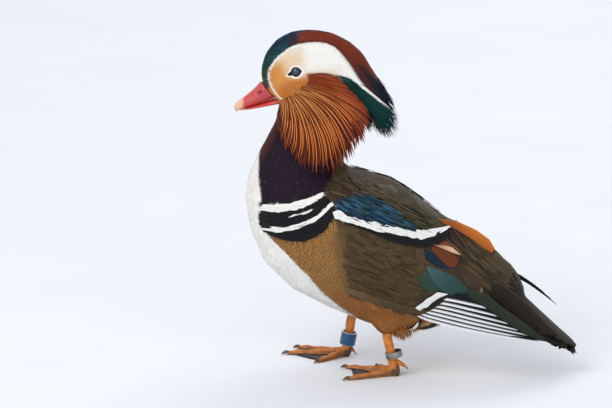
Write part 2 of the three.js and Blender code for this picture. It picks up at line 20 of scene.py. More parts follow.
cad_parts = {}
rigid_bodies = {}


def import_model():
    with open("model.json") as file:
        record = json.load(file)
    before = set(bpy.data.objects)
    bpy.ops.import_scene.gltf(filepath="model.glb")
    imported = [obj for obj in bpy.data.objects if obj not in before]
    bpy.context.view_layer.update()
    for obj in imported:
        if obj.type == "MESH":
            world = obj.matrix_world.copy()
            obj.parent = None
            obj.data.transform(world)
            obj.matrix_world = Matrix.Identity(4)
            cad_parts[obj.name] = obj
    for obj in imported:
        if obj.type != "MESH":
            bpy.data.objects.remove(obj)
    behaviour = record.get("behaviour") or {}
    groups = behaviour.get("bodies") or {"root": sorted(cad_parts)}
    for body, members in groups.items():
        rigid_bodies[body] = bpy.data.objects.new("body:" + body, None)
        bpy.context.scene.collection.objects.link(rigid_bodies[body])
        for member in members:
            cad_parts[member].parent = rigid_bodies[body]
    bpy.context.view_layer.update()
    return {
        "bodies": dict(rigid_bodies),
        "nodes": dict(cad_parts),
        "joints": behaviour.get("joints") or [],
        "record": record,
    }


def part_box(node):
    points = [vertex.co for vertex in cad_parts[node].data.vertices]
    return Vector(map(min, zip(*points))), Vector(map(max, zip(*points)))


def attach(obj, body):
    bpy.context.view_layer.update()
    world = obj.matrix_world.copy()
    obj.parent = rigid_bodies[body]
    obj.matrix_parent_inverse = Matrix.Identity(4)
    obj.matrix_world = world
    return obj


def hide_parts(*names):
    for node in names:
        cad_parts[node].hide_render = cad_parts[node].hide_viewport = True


LOG = logging.getLogger("mandarin_drake")
MM = 0.001
SEED = 20417
RIM_ANGLE = math.radians(50)
CLEAR = 120.0  # further out than any part of the bird
CHEEK = 8.0  # the sides of the head lie further out than this
PAIR = (("left", 1), ("right", -1))

Point2 = tuple[float, float]
Point3 = tuple[float, float, float]
Rgb = tuple[int, int, int]


def linear(colour: Rgb) -> np.ndarray:
    """Turn a display colour into the linear values that shaders and attributes take.

    Args:
        colour: Red, green and blue, 0 to 255.

    Returns:
        Three linear values, 0 to 1.
    """
    share = np.array(colour, float) / 255
    return np.where(share <= 0.04045, share / 12.92, ((share + 0.055) / 1.055) ** 2.4)


def tinted(colour: np.ndarray, tone: Rgb, amount: np.ndarray) -> np.ndarray:
    """Return linear colours mixed with a display colour, each by its amount from 0 to 1."""
    return colour * (1 - amount[..., None]) + linear(tone) * amount[..., None]


def mixed(first: Rgb, second: Rgb, share: float) -> Rgb:
    """Return a display colour between two others."""
    return tuple(round(a + (b - a) * float(share)) for a, b in zip(first, second))


def unit(vectors: np.ndarray) -> np.ndarray:
    """Return the vectors in the last axis, each with a length of one."""
    return vectors / np.maximum(np.linalg.norm(vectors, axis=-1, keepdims=True), 1e-9)


def outline_distance(points: np.ndarray, outline: Sequence[Point2], closed: bool = True) -> np.ndarray:
    """Measure how far side-view points lie inside an outline, or from a line.

    Args:
        points: Side-view places, y and z, one row each.
        outline: Corners, y and z.
        closed: Whether the outline closes. An open one is a plain line.

    Returns:
        Distance to the edge, positive inside a closed outline and negative outside it and off a line.
    """
    corners = np.array(outline, float)
    starts, ends = (corners, np.roll(corners, -1, axis=0)) if closed else (corners[:-1], corners[1:])
    nearest = np.full(len(points), np.inf)
    inside = np.zeros(len(points), bool)
    for start, end in zip(starts, ends):
        edge = end - start
        offset = points - start
        share = np.clip(offset @ edge / max(edge @ edge, 1e-9), 0, 1)
        nearest = np.minimum(nearest, np.linalg.norm(offset - share[:, None] * edge, axis=1))
        if closed and start[1] != end[1]:
            crosses = (start[1] > points[:, 1]) != (end[1] > points[:, 1])
            at = start[0] + (points[:, 1] - start[1]) * edge[0] / edge[1]
            inside ^= crosses & (points[:, 0] < at)
    return np.where(inside, nearest, -nearest)


def sampled(curve: Sequence[Sequence[float]], shares: np.ndarray) -> np.ndarray:
    """Sample a polyline at even shares of its length.

    Args:
        curve: Corners of the line, in two or three coordinates.
        shares: Places along it, 0 to 1.

    Returns:
        One point for each share.
    """
    corners = np.array(curve, float)
    steps = np.linalg.norm(np.diff(corners, axis=0), axis=1)
    run = np.concatenate([[0], np.cumsum(steps)]) / max(steps.sum(), 1e-9)
    return np.stack([np.interp(shares, run, corners[:, i]) for i in range(corners.shape[1])], axis=-1)


def bowed(start: np.ndarray, middle: np.ndarray, end: np.ndarray, shares: np.ndarray) -> np.ndarray:
    """Return points on the quadratic curve from start to end that leans towards middle."""
    t = shares[:, None]
    return (1 - t) ** 2 * start + 2 * t * (1 - t) * middle + t * t * end


def evened(values: np.ndarray, edges: np.ndarray, rounds: int, pull: float = 0.5) -> np.ndarray:
    """Even out values over a mesh by blending each vertex with its neighbours.

    Args:
        values: One row for each vertex.
        edges: Pairs of vertices.
        rounds: How often to blend.
        pull: Share of the neighbours' mean that each vertex takes.

    Returns:
        The evened values.
    """
    count = len(values)
    flat = values.reshape(count, -1)
    degree = np.maximum(np.bincount(edges.ravel(), minlength=count), 1)[:, None]
    first, second = edges[:, 0], edges[:, 1]
    for _ in range(rounds):
        total = [
            np.bincount(first, flat[second, k], count) + np.bincount(second, flat[first, k], count)
            for k in range(flat.shape[1])
        ]
        flat = flat + (np.stack(total, axis=1) / degree - flat) * pull
    return flat.reshape(values.shape)


def read_rows(items: Iterable, key: str, width: int, kind: type = np.float32) -> np.ndarray:
    """Read one property of a mesh's parts.

    Args:
        items: Vertices, edges, triangles or UV places.
        key: Name of the property.
        width: How many values each part has.
        kind: Type of the values.

    Returns:
        One row for each part.
    """
    values = np.zeros(len(items) * width, kind)
    items.foreach_get(key, values)
    return values.reshape(-1, width)


def mesh_points(mesh: bpy.types.Mesh) -> np.ndarray:
    """Return a mesh's vertices in millimetres."""
    return read_rows(mesh.vertices, "co", 3).astype(float) / MM


def mesh_normals(mesh: bpy.types.Mesh) -> np.ndarray:
    """Return the outward direction at each vertex of a mesh."""
    return read_rows(mesh.vertices, "normal", 3).astype(float)


def mesh_edges(mesh: bpy.types.Mesh) -> np.ndarray:
    """Return the pairs of vertices that a mesh's edges join."""
    return read_rows(mesh.edges, "vertices", 2, np.int32)


def move_points(mesh: bpy.types.Mesh, points: np.ndarray) -> None:
    """Give a mesh's vertices new places, in millimetres."""
    mesh.vertices.foreach_set("co", (points * MM).astype(np.float32).ravel())
    mesh.update()


def smooth_faces(mesh: bpy.types.Mesh) -> None:
    """Shade all of a mesh's faces smooth."""
    mesh.polygons.foreach_set("use_smooth", np.ones(len(mesh.polygons), bool))


def linked(name: str, data: bpy.types.ID) -> bpy.types.Object:
    """Make an object of a mesh, a light or a camera and put it in the scene."""
    made = bpy.data.objects.new(name, data)
    bpy.context.scene.collection.objects.link(made)
    return made


class Surface:
    """The finished skin as arrays, for laying plumage on it."""

    def __init__(self, mesh: bpy.types.Mesh) -> None:
        """Read a mesh, in metres, into millimetre arrays and a search tree.

        Args:
            mesh: The skin's mesh, with its unwrap as the active UV map.
        """
        self.points = mesh_points(mesh)
        mesh.calc_loop_triangles()
        self.triangles = read_rows(mesh.loop_triangles, "vertices", 3, np.int32)
        loops = read_rows(mesh.loop_triangles, "loops", 3, np.int32)
        self.unwrap = read_rows(mesh.uv_layers.active.data, "uv", 2)[loops]
        corners = self.points[self.triangles]
        cross = np.cross(corners[:, 1] - corners[:, 0], corners[:, 2] - corners[:, 0])
        self.areas = np.linalg.norm(cross, axis=1) / 2
        normals = np.zeros_like(self.points)
        for corner in range(3):
            np.add.at(normals, self.triangles[:, corner], cross)
        self.vertex_normals = unit(normals)
        self.face_normals = unit(self.vertex_normals[self.triangles].sum(axis=1))
        self.centres = corners.mean(axis=1)
        self.tree = BVHTree.FromPolygons(self.points.tolist(), self.triangles.tolist())

    def nearest(self, places: np.ndarray) -> tuple[np.ndarray, np.ndarray]:
        """Find the skin's nearest points.

        Args:
            places: Points, one row each.

        Returns:
            The nearest points and the skin's outward directions there.
        """
        found = [self.tree.find_nearest(p) for p in places.tolist()]
        return (
            np.array([f[0] for f in found], float).reshape(-1, 3),
            self.face_normals[np.array([f[2] for f in found], int)],
        )

    def from_side(self, place: Sequence[float], side: int) -> tuple[np.ndarray, np.ndarray] | None:
        """Look at the skin from one side.

        Args:
            place: Side-view place, y and z.
            side: 1 from the bird's left, -1 from its right.

        Returns:
            The first point met and its outward direction, or None past the outline.
        """
        hit, _, index, _ = self.tree.ray_cast((side * CLEAR, place[0], place[1]), (-side, 0, 0))
        return None if hit is None or hit[0] * side < -2 else (np.array(hit), self.face_normals[index])

    def drape(self, spots: np.ndarray, lifted: np.ndarray, reach: float = 2.5) -> tuple[np.ndarray, np.ndarray]:
        """Lay points on the skin where it is near, and give them its outward directions.

        Args:
            spots: Points.
            lifted: Outward directions, kept where the skin is far.
            reach: How far a point may move.

        Returns:
            The new points and directions, laid out as they were.
        """
        ground, out = (a.reshape(spots.shape) for a in self.nearest(spots.reshape(-1, 3)))
        close = np.linalg.norm(ground - spots, axis=-1, keepdims=True) < reach
        return np.where(close, ground, spots), np.where(close, out, lifted)

    def scattered(self, chooser: np.random.Generator, spacing: float, chance: np.ndarray
                  ) -> tuple[np.ndarray, np.ndarray, np.ndarray]:
        """Scatter roots over part of the skin, about evenly.

        Args:
            chooser: Source of random numbers.
            spacing: Distance between neighbours.
            chance: For each triangle, 1 where roots are wanted and 0 elsewhere.

        Returns:
            Root points, outward directions and places on the unwrap.
        """
        weights = self.areas * chance
        total = weights.sum()
        count = int(total / spacing**2 * 5)
        if count == 0:
            return np.zeros((0, 3)), np.zeros((0, 3)), np.zeros((0, 2))
        picked = np.searchsorted(np.cumsum(weights) / total, chooser.random(count)).clip(0, len(weights) - 1)
        first, second = chooser.random(count), chooser.random(count)
        over = first + second > 1
        first[over], second[over] = 1 - first[over], 1 - second[over]
        shares = np.stack([1 - first - second, first, second], axis=1)
        points = (self.points[self.triangles[picked]] * shares[..., None]).sum(axis=1)
        places = (self.unwrap[picked] * shares[..., None]).sum(axis=1)
        normals = unit((self.vertex_normals[self.triangles[picked]] * shares[..., None]).sum(axis=1))
        kept = np.arange(count)
        for shift in (0.0, 0.5):
            cells = np.floor(points[kept] / spacing + shift).astype(np.int64)
            keys = (cells[:, 0] * 73856093) ^ (cells[:, 1] * 19349663) ^ (cells[:, 2] * 83492791)
            _, first_ones = np.unique(keys, return_index=True)
            kept = kept[np.sort(first_ones)]
        return points[kept], normals[kept], places[kept]


# Guides of how the plumage lies: a place on the left side or the middle, and the way the feathers run there.
GUIDES: tuple[tuple[Point3, Point3], ...] = (
    ((0, -128, 262), (0, 0.1, 1)), ((0, -120, 285), (0, 0.75, 0.65)), ((0, -100, 300), (0, 0.97, 0.2)),
    ((0, -80, 304), (0, 1, -0.15)), ((0, -60, 297), (0, 0.75, -0.65)), ((0, -45, 280), (0, 0.62, -0.78)),
    ((0, -30, 262), (0, 0.6, -0.8)), ((0, -18, 242), (0, 0.6, -0.8)), ((12, -118, 262), (0.25, 0.97, 0.2)),
    ((10, -122, 275), (0.05, 0.6, 0.8)), ((10, -110, 292), (0, 0.9, 0.4)), ((15, -105, 262), (0.2, 1, 0.05)),
    ((16, -97, 280), (0, 1, 0.1)), ((16, -80, 280), (0, 1, -0.15)), ((15, -60, 278), (0, 0.85, -0.5)),
    ((13, -45, 262), (0, 0.7, -0.7)), ((11, -32, 248), (0, 0.7, -0.7)), ((10, -22, 232), (0, 0.6, -0.8)),
    ((14, -105, 250), (0.2, 0.8, -0.5)), ((0, -112, 236), (0, 0.5, -0.85)), ((20, -100, 235), (0.1, 0.25, -1)),
    ((22, -80, 235), (0.1, 0.5, -0.85)), ((20, -55, 240), (0, 0.85, -0.5)), ((0, -118, 215), (0, -0.25, -1)),
    ((25, -100, 205), (0.3, -0.1, -1)), ((20, -70, 205), (0.2, 0.1, -1)), ((0, -60, 200), (0, 0.15, -1)),
    ((0, -137, 175), (0, -0.2, -1)), ((0, -141, 150), (0, 0.05, -1)), ((0, -130, 110), (0, 0.45, -0.9)),
    ((35, -120, 165), (0.2, 0.1, -1)), ((48, -100, 150), (0, 0.45, -0.9)),
    ((45, -75, 170), (0.1, 0.75, -0.65)), ((0, -100, 72), (0, 0.8, -0.6)), ((0, -50, 45), (0, 0.95, -0.3)),
    ((0, 0, 33), (0, 1, 0.05)), ((0, 40, 48), (0, 0.95, 0.3)), ((52, -90, 120), (0.1, 0.75, -0.65)),
    ((50, -60, 90), (0, 0.9, -0.45)), ((45, -20, 60), (-0.1, 0.97, -0.2)), ((35, 20, 50), (-0.2, 1, 0)),
    ((0, -45, 178), (0, 0.9, -0.4)), ((25, -35, 172), (0.15, 0.9, -0.4)), ((0, 0, 165), (0, 0.87, -0.48)),
    ((0, 50, 130), (0, 0.8, -0.6)), ((0, 90, 95), (0, 0.75, -0.65)), ((45, -30, 150), (0, 0.93, -0.35)),
    ((50, 0, 120), (0, 0.9, -0.42)), ((45, 40, 105), (-0.1, 0.85, -0.5)), ((30, 80, 90), (-0.15, 0.8, -0.55)),
    ((0, 120, 40), (0, 0.8, -0.6)), ((0, 100, 45), (0, 0.85, -0.5)),
)


class Flow:
    """The way the plumage lies, blended between the guides."""

    def __init__(self, guides: Sequence[tuple[Point3, Point3]]) -> None:
        """Keep the guides as arrays."""
        self.places = np.array([g[0] for g in guides], float)
        self.ways = unit(np.array([g[1] for g in guides], float))

    def at(self, points: np.ndarray) -> np.ndarray:
        """Return the lie of the plumage at each point, mirrored on the bird's right side."""
        mirrored = points.astype(float)
        mirrored[:, 0] = np.abs(mirrored[:, 0])
        ways = np.zeros_like(points)
        for place, way in zip(self.places, self.ways):
            weight = 1 / (((mirrored - place) ** 2).sum(axis=1) + 30) ** 1.8
            ways += weight[:, None] * way
        ways[:, 0] *= np.sign(points[:, 0])
        return unit(ways)


# Side-view outlines of the regions of plumage, y and z
CREST_AREA = (
    (-140, 250), (-120.5, 252), (-120.8, 256.5), (-121.2, 261.7), (-121.1, 266.9), (-118.4, 272.5),
    (-113.1, 279.2), (-106.7, 284.9), (-99.3, 289.9), (-88.6, 293.3), (-77.9, 294.3), (-69.4, 293.5),
    (-61.7, 290.4), (-56.2, 286), (-49.6, 278.5), (-44.2, 270.6), (-39.9, 264), (-34.7, 257.2), (-28.5, 250),
    (-21.4, 242.6), (-14.8, 235.4), (5, 222), (5, 330), (-140, 330),
)
HEAD_AREA = (
    (-140, 242), (-140, 330), (10, 330), (10, 200), (-30, 205), (-33, 224), (-38, 238), (-48, 250), (-64, 262),
    (-87, 252), (-108, 240),
)
NAPE_AREA = (
    (-61.9, 267.5), (-55.6, 266.5), (-49.3, 264.9), (-45.1, 262.1), (-40.9, 258.8), (-36.8, 254.9),
    (-33.6, 251.6), (-28.4, 247.6), (-22.3, 241.8), (-15.5, 234.8), (5, 222), (5, 196), (-26, 200), (-34, 231),
    (-39.1, 239.7), (-43.2, 246.5), (-49.2, 252.3), (-53.5, 258.8), (-56.6, 264.2),
)
RUFF_AREA = (
    (-111, 243), (-87, 255), (-64, 264), (-48, 250.5), (-34, 236), (-30, 224), (-36, 212), (-50, 200),
    (-52, 190), (-60, 183), (-72, 181), (-84, 184), (-102, 203), (-112, 225),
)
NECK_AREA = ((-150, 187), (-150, 250), (-20, 250), (-20, 187))
BREAST_AREA = ((-160, 190), (-160, 112), (-129, 112), (-66, 152), (-61, 174), (-40, 190))
BACK_AREA = (
    (-61, 190), (-60, 170), (-38, 174), (-4, 167), (24, 153), (44, 137), (61, 124), (77, 113), (90, 101),
    (101, 90), (112, 76), (140, 100), (60, 215), (-50, 215),
)
SCAPULAR_AREA = (
    (-61, 152), (-50, 143.5), (-20, 134), (6, 127), (28, 128), (44, 137), (24, 153), (-4, 167), (-38, 174),
    (-60, 170),
)
WING_AREA = (
    (-50, 143.5), (-20, 134), (6, 127), (28, 128), (44, 137), (61, 124), (77, 113), (90, 101), (101, 90),
    (106, 78), (98, 71), (78, 77.5), (36, 80), (15, 65), (12, 57.5), (-16, 64.5), (-44, 73.5), (-52, 95),
    (-54, 118),
)
FLANK_AREA = (
    (-115, 124), (-98, 102), (-80, 85), (-62, 71), (-43, 55), (-20, 44), (8, 42), (36, 54), (12, 57.5),
    (-16, 64.5), (-44, 73.5), (-52, 95), (-54, 118), (-50, 143.5), (-69, 129), (-87, 125),
)
TAIL_AREA = ((70, 20), (74, 60), (90, 74), (106, 78), (170, 50), (170, -5))


ROW_WAY = unit(np.array([0.93, -0.38]))


class Kind(Enum):
    """The shapes a scattered feather can have."""

    HAIR = "hair"
    TUFT = "tuft"
    SCALE = "scale"


@dataclass(frozen=True)
class Region:
    """One region of plumage: where it is, the size of its feathers, and whether they stand in even rows."""

    name: str
    area: Sequence[Point2]
    kind: Kind
    spacing: float
    length: float
    width: float
    depth: float
    lift: float
    slot: str = "white_feathers"
    rows: bool = False

    def holds(self, points: np.ndarray) -> np.ndarray:
        """Return whether each point lies in the region, seen from the side."""
        return outline_distance(points[:, 1:], self.area) > 0


ANYWHERE = ((-300, -50), (300, -50), (300, 400), (-300, 400))
# Painted in order: a later region takes what it covers from an earlier one.
REGIONS = (
    Region("belly", ANYWHERE, Kind.TUFT, 2.2, 10, 4.6, 1.1, 0.6),
    Region("flank", FLANK_AREA, Kind.TUFT, 1.9, 9, 3.6, 1.2, 0.5, "flank_feathers"),
    Region("breast", BREAST_AREA, Kind.TUFT, 1.8, 8, 3.4, 1.2, 0.5, "maroon_feathers"),
    Region("neck", NECK_AREA, Kind.TUFT, 1.6, 7.5, 2.8, 0.8, 0.4, "maroon_feathers"),
    Region("back", BACK_AREA, Kind.SCALE, 2.3, 19, 9.5, 1.3, 0.45, "wing_feathers"),
    Region("wing", WING_AREA, Kind.SCALE, 4.8, 25, 12.0, 1.5, 0.55, "wing_feathers", rows=True),
    Region("scapular", SCAPULAR_AREA, Kind.SCALE, 4.8, 28, 10.5, 1.7, 0.6, "scapular_feathers", rows=True),
    Region("tail", TAIL_AREA, Kind.TUFT, 2.6, 8, 3.4, 2.4, 0.3, "black_feathers"),
    Region("ruff", RUFF_AREA, Kind.HAIR, 1.9, 10, 2.0, 3.0, 0.8, "copper_feathers"),
    Region("face", HEAD_AREA, Kind.HAIR, 1.05, 4.4, 1.9, 0.35, 0.16),
    Region("nape", NAPE_AREA, Kind.HAIR, 1.4, 13, 1.5, 0.6, 0.5, "green_feathers"),
    Region("crest", CREST_AREA, Kind.HAIR, 1.25, 11, 1.5, 0.45, 0.35, "copper_feathers"),
)


def region_of(points: np.ndarray) -> np.ndarray:
    """Return the index in REGIONS of the region that holds each point."""
    held = np.zeros(len(points), int)
    for index, region in enumerate(REGIONS):
        held[region.holds(points)] = index
    return held


@dataclass(frozen=True)
class Patch:
    """One marking, seen from the side: an area or a line of one colour.

    soft is how far its edge fades, half the line's half-width where it is a line. gloss is how far the feathers
    shine like metal there, and wavy how strong the fine dark waves are.
    """

    colour: Rgb
    outline: Sequence[Point2]
    soft: float = 0.8
    half: float | None = None
    gloss: float = 0.0
    wavy: float = 0.0
    strength: float = 1.0
    test: Callable[[np.ndarray], np.ndarray] | None = None

    def cover(self, points: np.ndarray) -> np.ndarray:
        """Return how far the patch covers each point, 0 to 1."""
        flat = points[:, 1:]
        corners = np.array(self.outline, float)
        reach = self.soft + (self.half or 0) + 0.1
        near = ((flat > corners.min(axis=0) - reach) & (flat < corners.max(axis=0) + reach)).all(axis=1)
        amount = np.zeros(len(points))
        if near.any():
            distance = outline_distance(flat[near], self.outline, self.half is None) + (self.half or 0)
            share = np.clip(distance / (2 * self.soft) + 0.5, 0, 1)
            amount[near] = share * share * (3 - 2 * share) * self.strength
        if self.test is not None:
            amount *= self.test(points)
        return amount


WHITE = (226, 224, 219)
MAROON = (30, 16, 30)
BLACK = (17, 18, 22)
BROWN = (72, 57, 36)

MARKINGS = (
    # flank
    Patch((156, 112, 58), ((-117, 126), (-100, 112), (-81, 94), (-67, 75), (-55, 63), (-44, 53), (-38, 42),
        (-30, 20), (30, 20), (44, 46), (36, 66), (-12, 78), (-30, 84), (-34, 104), (-40, 124), (-44, 150),
        (-56, 152), (-69, 133), (-87, 129)), 1.2, wavy=1.0),
    Patch((148, 90, 40), ((-62, 80), (-50, 60), (-36, 38), (-28, 18), (28, 18), (44, 46), (40, 64), (12, 70),
        (-16, 78), (-42, 82)), 6, wavy=0.5, strength=0.8),
    # mantle, wings, back and tail
    Patch(BROWN, ((-64, 171), (-62, 186), (-50, 205), (60, 215), (160, 110), (160, 40), (120, 55), (98, 71),
        (60, 62), (36, 62), (28, 57), (12, 57), (-16, 67), (-44, 75), (-44, 100), (-49, 122), (-54, 143),
        (-60, 152)), 1.5),
    Patch((96, 76, 50), ((-58, 132), (-52, 95), (-46, 76), (-32, 76), (-36, 100), (-42, 130), (-50, 142)), 4,
        strength=0.7, wavy=0.6),
    Patch((70, 54, 40), ((-30, 132), (-34, 100), (-20, 84), (10, 84), (16, 112), (0, 124)), 8, strength=0.6),
    Patch((40, 34, 27), ((78, 118), (170, 70), (170, 0), (92, 20), (88, 60), (98, 74)), 5),
    Patch((40, 33, 25), ((-66, 164), (-44, 169.6), (-24, 168.4), (0, 160), (22, 149), (34, 141)), 0.9,
        half=0.9, strength=0.8),
    Patch((58, 48, 32), ((-53, 172), (-32, 172), (-8, 164), (16, 148), (32, 137), (44, 137), (24, 153),
        (-4, 167), (-38, 176)), 2, strength=0.5),
    # neck and breast
    Patch(MAROON, ((-50, 236), (-122, 245), (-120, 221), (-126, 212), (-128, 204), (-129, 192), (-128, 182),
        (-126, 169), (-124, 162), (-122, 150), (-106, 150), (-84, 155), (-68, 165), (-62, 170), (-60, 190),
        (-50, 205), (-30, 215), (-30, 236)), 1.2, gloss=0.12),
    Patch((84, 40, 28), ((-120, 240), (-118, 221), (-126, 206), (-130, 192), (-124, 190), (-116, 206),
        (-110, 222), (-106, 240)), 3.5, strength=0.6),
    Patch((146, 78, 38), ((-120, 246), (-120, 232), (-116, 224), (-110, 222), (-106, 231), (-101, 243)), 3.5,
        strength=0.85),
    Patch(BLACK, ((-126, 154), (-108, 158), (-99, 158), (-81, 165), (-67, 168), (-56, 161), (-56, 150),
        (-59, 143), (-69, 132), (-82, 125), (-99, 124), (-115, 126), (-126, 134)), 0.9, gloss=0.1),
    Patch(WHITE, ((-131, 145), (-129, 149), (-114.8, 154.8), (-97.2, 157), (-82.4, 161.2), (-67, 167.5),
        (-66.4, 165.6), (-70, 162), (-82.2, 156), (-97, 151), (-114.8, 148.4)), 0.6),
    Patch(WHITE, ((-129, 128), (-125, 131), (-108, 134.8), (-90.4, 140.6), (-75.6, 147), (-65.5, 154.2),
        (-58.6, 161), (-57.4, 158), (-63.4, 151.8), (-73.4, 144), (-86.1, 137.4), (-99.2, 132.6),
        (-115, 128.4)), 0.6),
    Patch((60, 46, 32), ((-66, 174), (-56, 174), (-54, 160), (-59, 158.5), (-63.6, 162.6), (-65.6, 166)), 0.8),
    # scapulars
    Patch((22, 44, 64), ((-59, 157), (-52, 162), (-43, 167), (-35, 168), (-23, 164), (-10, 155.7), (-1.6, 148),
        (14, 138), (15, 130), (0, 133), (-16, 138), (-33, 142), (-50, 148)), 2.2, gloss=0.25),
    Patch((32, 70, 92), ((-46, 164), (-38, 166), (-26, 158), (-14, 150), (-18, 146), (-36, 154)), 3, gloss=0.3,
        strength=0.7),
    Patch((24, 68, 76), ((-18, 158), (-8, 152), (2, 144), (4, 138), (-10, 142), (-22, 148)), 3, gloss=0.25,
        strength=0.6),
    Patch((60, 60, 38), ((-28, 170), (-8.6, 165), (12, 150), (29, 139), (33, 132), (15, 132), (-1.6, 147),
        (-18, 161)), 2.4, gloss=0.12),
    Patch((30, 34, 40), ((-60, 158), (-50, 152), (-30, 147), (-10, 142), (8, 137), (8, 134), (-20, 137),
        (-46, 144)), 2.2, strength=0.5, gloss=0.3),
    # vent and undertail
    Patch((206, 178, 128), ((16, 46), (30, 54), (62, 60), (64, 36), (20, 20)), 3, strength=0.8),
    # head
    Patch(WHITE, ((-140, 242), (-140, 330), (10, 330), (10, 214), (-34, 232), (-44, 248), (-64, 262),
        (-87, 252), (-108, 240)), 0.8),
    Patch((210, 184, 144), ((-126, 240), (-126, 264), (-121, 272), (-113, 281), (-104, 287), (-92, 289),
        (-88, 280), (-90, 268), (-80, 268), (-60, 270), (-60, 262), (-100, 240)), 9, strength=0.85),
    Patch((200, 134, 64), ((-126, 238), (-126, 262), (-121, 270), (-114, 276), (-108, 275), (-104, 268),
        (-99, 262), (-82, 262), (-66, 266), (-66, 250), (-106, 236)), 6.5),
    Patch((178, 104, 40), ((-112, 250), (-106, 258), (-99, 261.5), (-88, 264.5), (-83, 267), (-66, 266),
        (-62, 246), (-92, 236), (-110, 240)), 4.5),
    Patch((92, 38, 22), ((-66, 238), (-44, 240), (-32, 230), (-32, 216), (-42, 202), (-52, 190), (-62, 205)),
        3),
    Patch((122, 50, 24), ((-86, 267.4), (-77, 268.6), (-68, 268.4), (-62.9, 266.9), (-56.6, 264.2),
        (-53.5, 258.8), (-49.2, 252.3), (-43.2, 246.5), (-39, 239.7), (-34.7, 231), (-60, 236), (-82, 258)),
        0.9),
    Patch((8, 46, 40), NAPE_AREA, 0.6, gloss=0.35),
    # crown and crest
    Patch((112, 44, 22), CREST_AREA, 0.6, gloss=0.12),
    Patch((14, 40, 52), ((-140, 246), (-120, 252), (-120.8, 262), (-121, 267), (-118.4, 272.5), (-113, 279),
        (-106, 286), (-99, 290.4), (-95, 296), (-98, 306), (-140, 300)), 2, gloss=0.3),
    Patch((12, 54, 38), ((-140, 246), (-120, 252), (-120.8, 262), (-121, 267), (-118.4, 272.5), (-116, 279),
        (-122, 284), (-140, 284)), 4, gloss=0.3),
    Patch((30, 56, 92), ((-132, 284), (-122, 284), (-116, 291), (-109, 296), (-100, 299), (-92, 301),
        (-104, 308), (-126, 304)), 2.2, gloss=0.3),
    Patch((18, 62, 70), ((-124, 276), (-117, 285), (-109, 292), (-101, 295), (-97, 292), (-106, 286),
        (-113, 279), (-119, 272)), 2, strength=0.8, gloss=0.3),
    Patch((40, 30, 44), ((-103, 300), (-96, 299), (-92, 294), (-98, 290), (-104, 289)), 2.2, strength=0.6),
    Patch((30, 44, 76), ((-104, 300.5), (-96, 302), (-86, 302.6)), 0.9, half=0.8, gloss=0.3, strength=0.7),
    Patch((70, 30, 26), ((-99.3, 291.6), (-88.6, 294.6), (-77.9, 295.6), (-69.4, 294.8), (-61, 291.6),
        (-55.4, 287), (-49, 279.4), (-43.6, 271.6)), 1.1, half=0.9, strength=0.7),
    Patch((92, 38, 28), ((-58, 288), (-49.6, 278.5), (-44.2, 270.6), (-34.7, 257.6), (-28, 260), (-36, 271),
        (-46, 283)), 3, strength=0.85),
    Patch((22, 26, 38), ((-44, 270.6), (-38, 261), (-28.6, 249.7), (-14.4, 234.5), (5, 222), (5, 252),
        (-20, 256), (-31, 261), (-37, 268)), 2.4, gloss=0.25),
    Patch((234, 232, 228), ((-49, 269), (-42, 261.4), (-35.5, 254.4), (-28.5, 248), (-23, 243)), 0.4, half=0.5),
    # fine white line round the face
    Patch(WHITE, ((-90.7, 292), (-97.6, 289.8), (-103.5, 286.6), (-109.6, 281.6), (-114.8, 276),
        (-118.3, 270.4), (-120, 264.8), (-119.4, 259.7), (-117.3, 254.1), (-114.1, 248.6), (-111.2, 245.2),
        (-108, 243.4)), 0.4, half=0.8),
)

UNDERTAIL = (226, 214, 190)
EYE_RING = (245, 242, 232)
LID = (12, 12, 14)


@dataclass
class Almond:
    """The almond-shaped opening of an eye, in polar form round the eye's centre, seen from the side."""

    centre: Point2
    radius: float = 4.2
    front: float = 3.8
    front_angle: float = math.radians(204)
    rear: float = 1.0
    rear_angle: float = math.radians(13)
    narrow: float = 0.25
    rear_width: float = 0.35

    def edge(self, angles: np.ndarray) -> np.ndarray:
        """Find the almond's radius.

        Args:
            angles: Angles from straight back towards the crown.

        Returns:
            The radius at each angle.
        """

        def bump(middle: float, width: float) -> np.ndarray:
            """Return a rounded rise round one angle."""
            off = (angles - middle + math.pi) % (2 * math.pi) - math.pi
            return np.exp(-((off / width) ** 2))

        corner = self.front * bump(self.front_angle, self.narrow)
        return self.radius + corner + self.rear * bump(self.rear_angle, self.rear_width)

    def outside(self, points: np.ndarray) -> np.ndarray:
        """Return how far each point lies outside the almond, negative inside."""
        off = points[:, 1:] - self.centre
        return np.linalg.norm(off, axis=1) - self.edge(np.arctan2(off[:, 1], off[:, 0]))


class Plumage:
    """Colours of skin and coat at any place."""

    def __init__(self, almond: Almond) -> None:
        """Keep the eye's opening, which the white ring follows."""
        self.almond = almond

    def paint(self, points: np.ndarray, normals: np.ndarray) -> tuple[np.ndarray, np.ndarray]:
        """Evaluate the markings.

        Args:
            points: Places, one row each.
            normals: Outward directions there.

        Returns:
            Linear colours, and masks: gloss in the first column and waves in the second.
        """
        colour = np.tile(linear(WHITE), (len(points), 1))
        masks = np.zeros((len(points), 2))
        for patch in MARKINGS:
            amount = patch.cover(points)
            colour = tinted(colour, patch.colour, amount)
            masks = masks * (1 - amount[:, None]) + np.array([patch.gloss, patch.wavy]) * amount[:, None]
        under = np.clip((-normals[:, 2] - 0.6) / 0.25, 0, 1) * (points[:, 1] > 40) * (points[:, 1] < 92)
        colour = tinted(colour, UNDERTAIL, under)
        out = self.almond.outside(points)
        near = (np.abs(points[:, 0]) > CHEEK) & (out < 6)
        ring = np.clip((1.9 - out) / 0.7, 0, 1) * near
        masks *= 1 - ring[:, None]
        colour = tinted(tinted(colour, EYE_RING, ring), LID, np.clip((0.5 - out) / 0.4, 0, 1) * near)
        return colour, masks


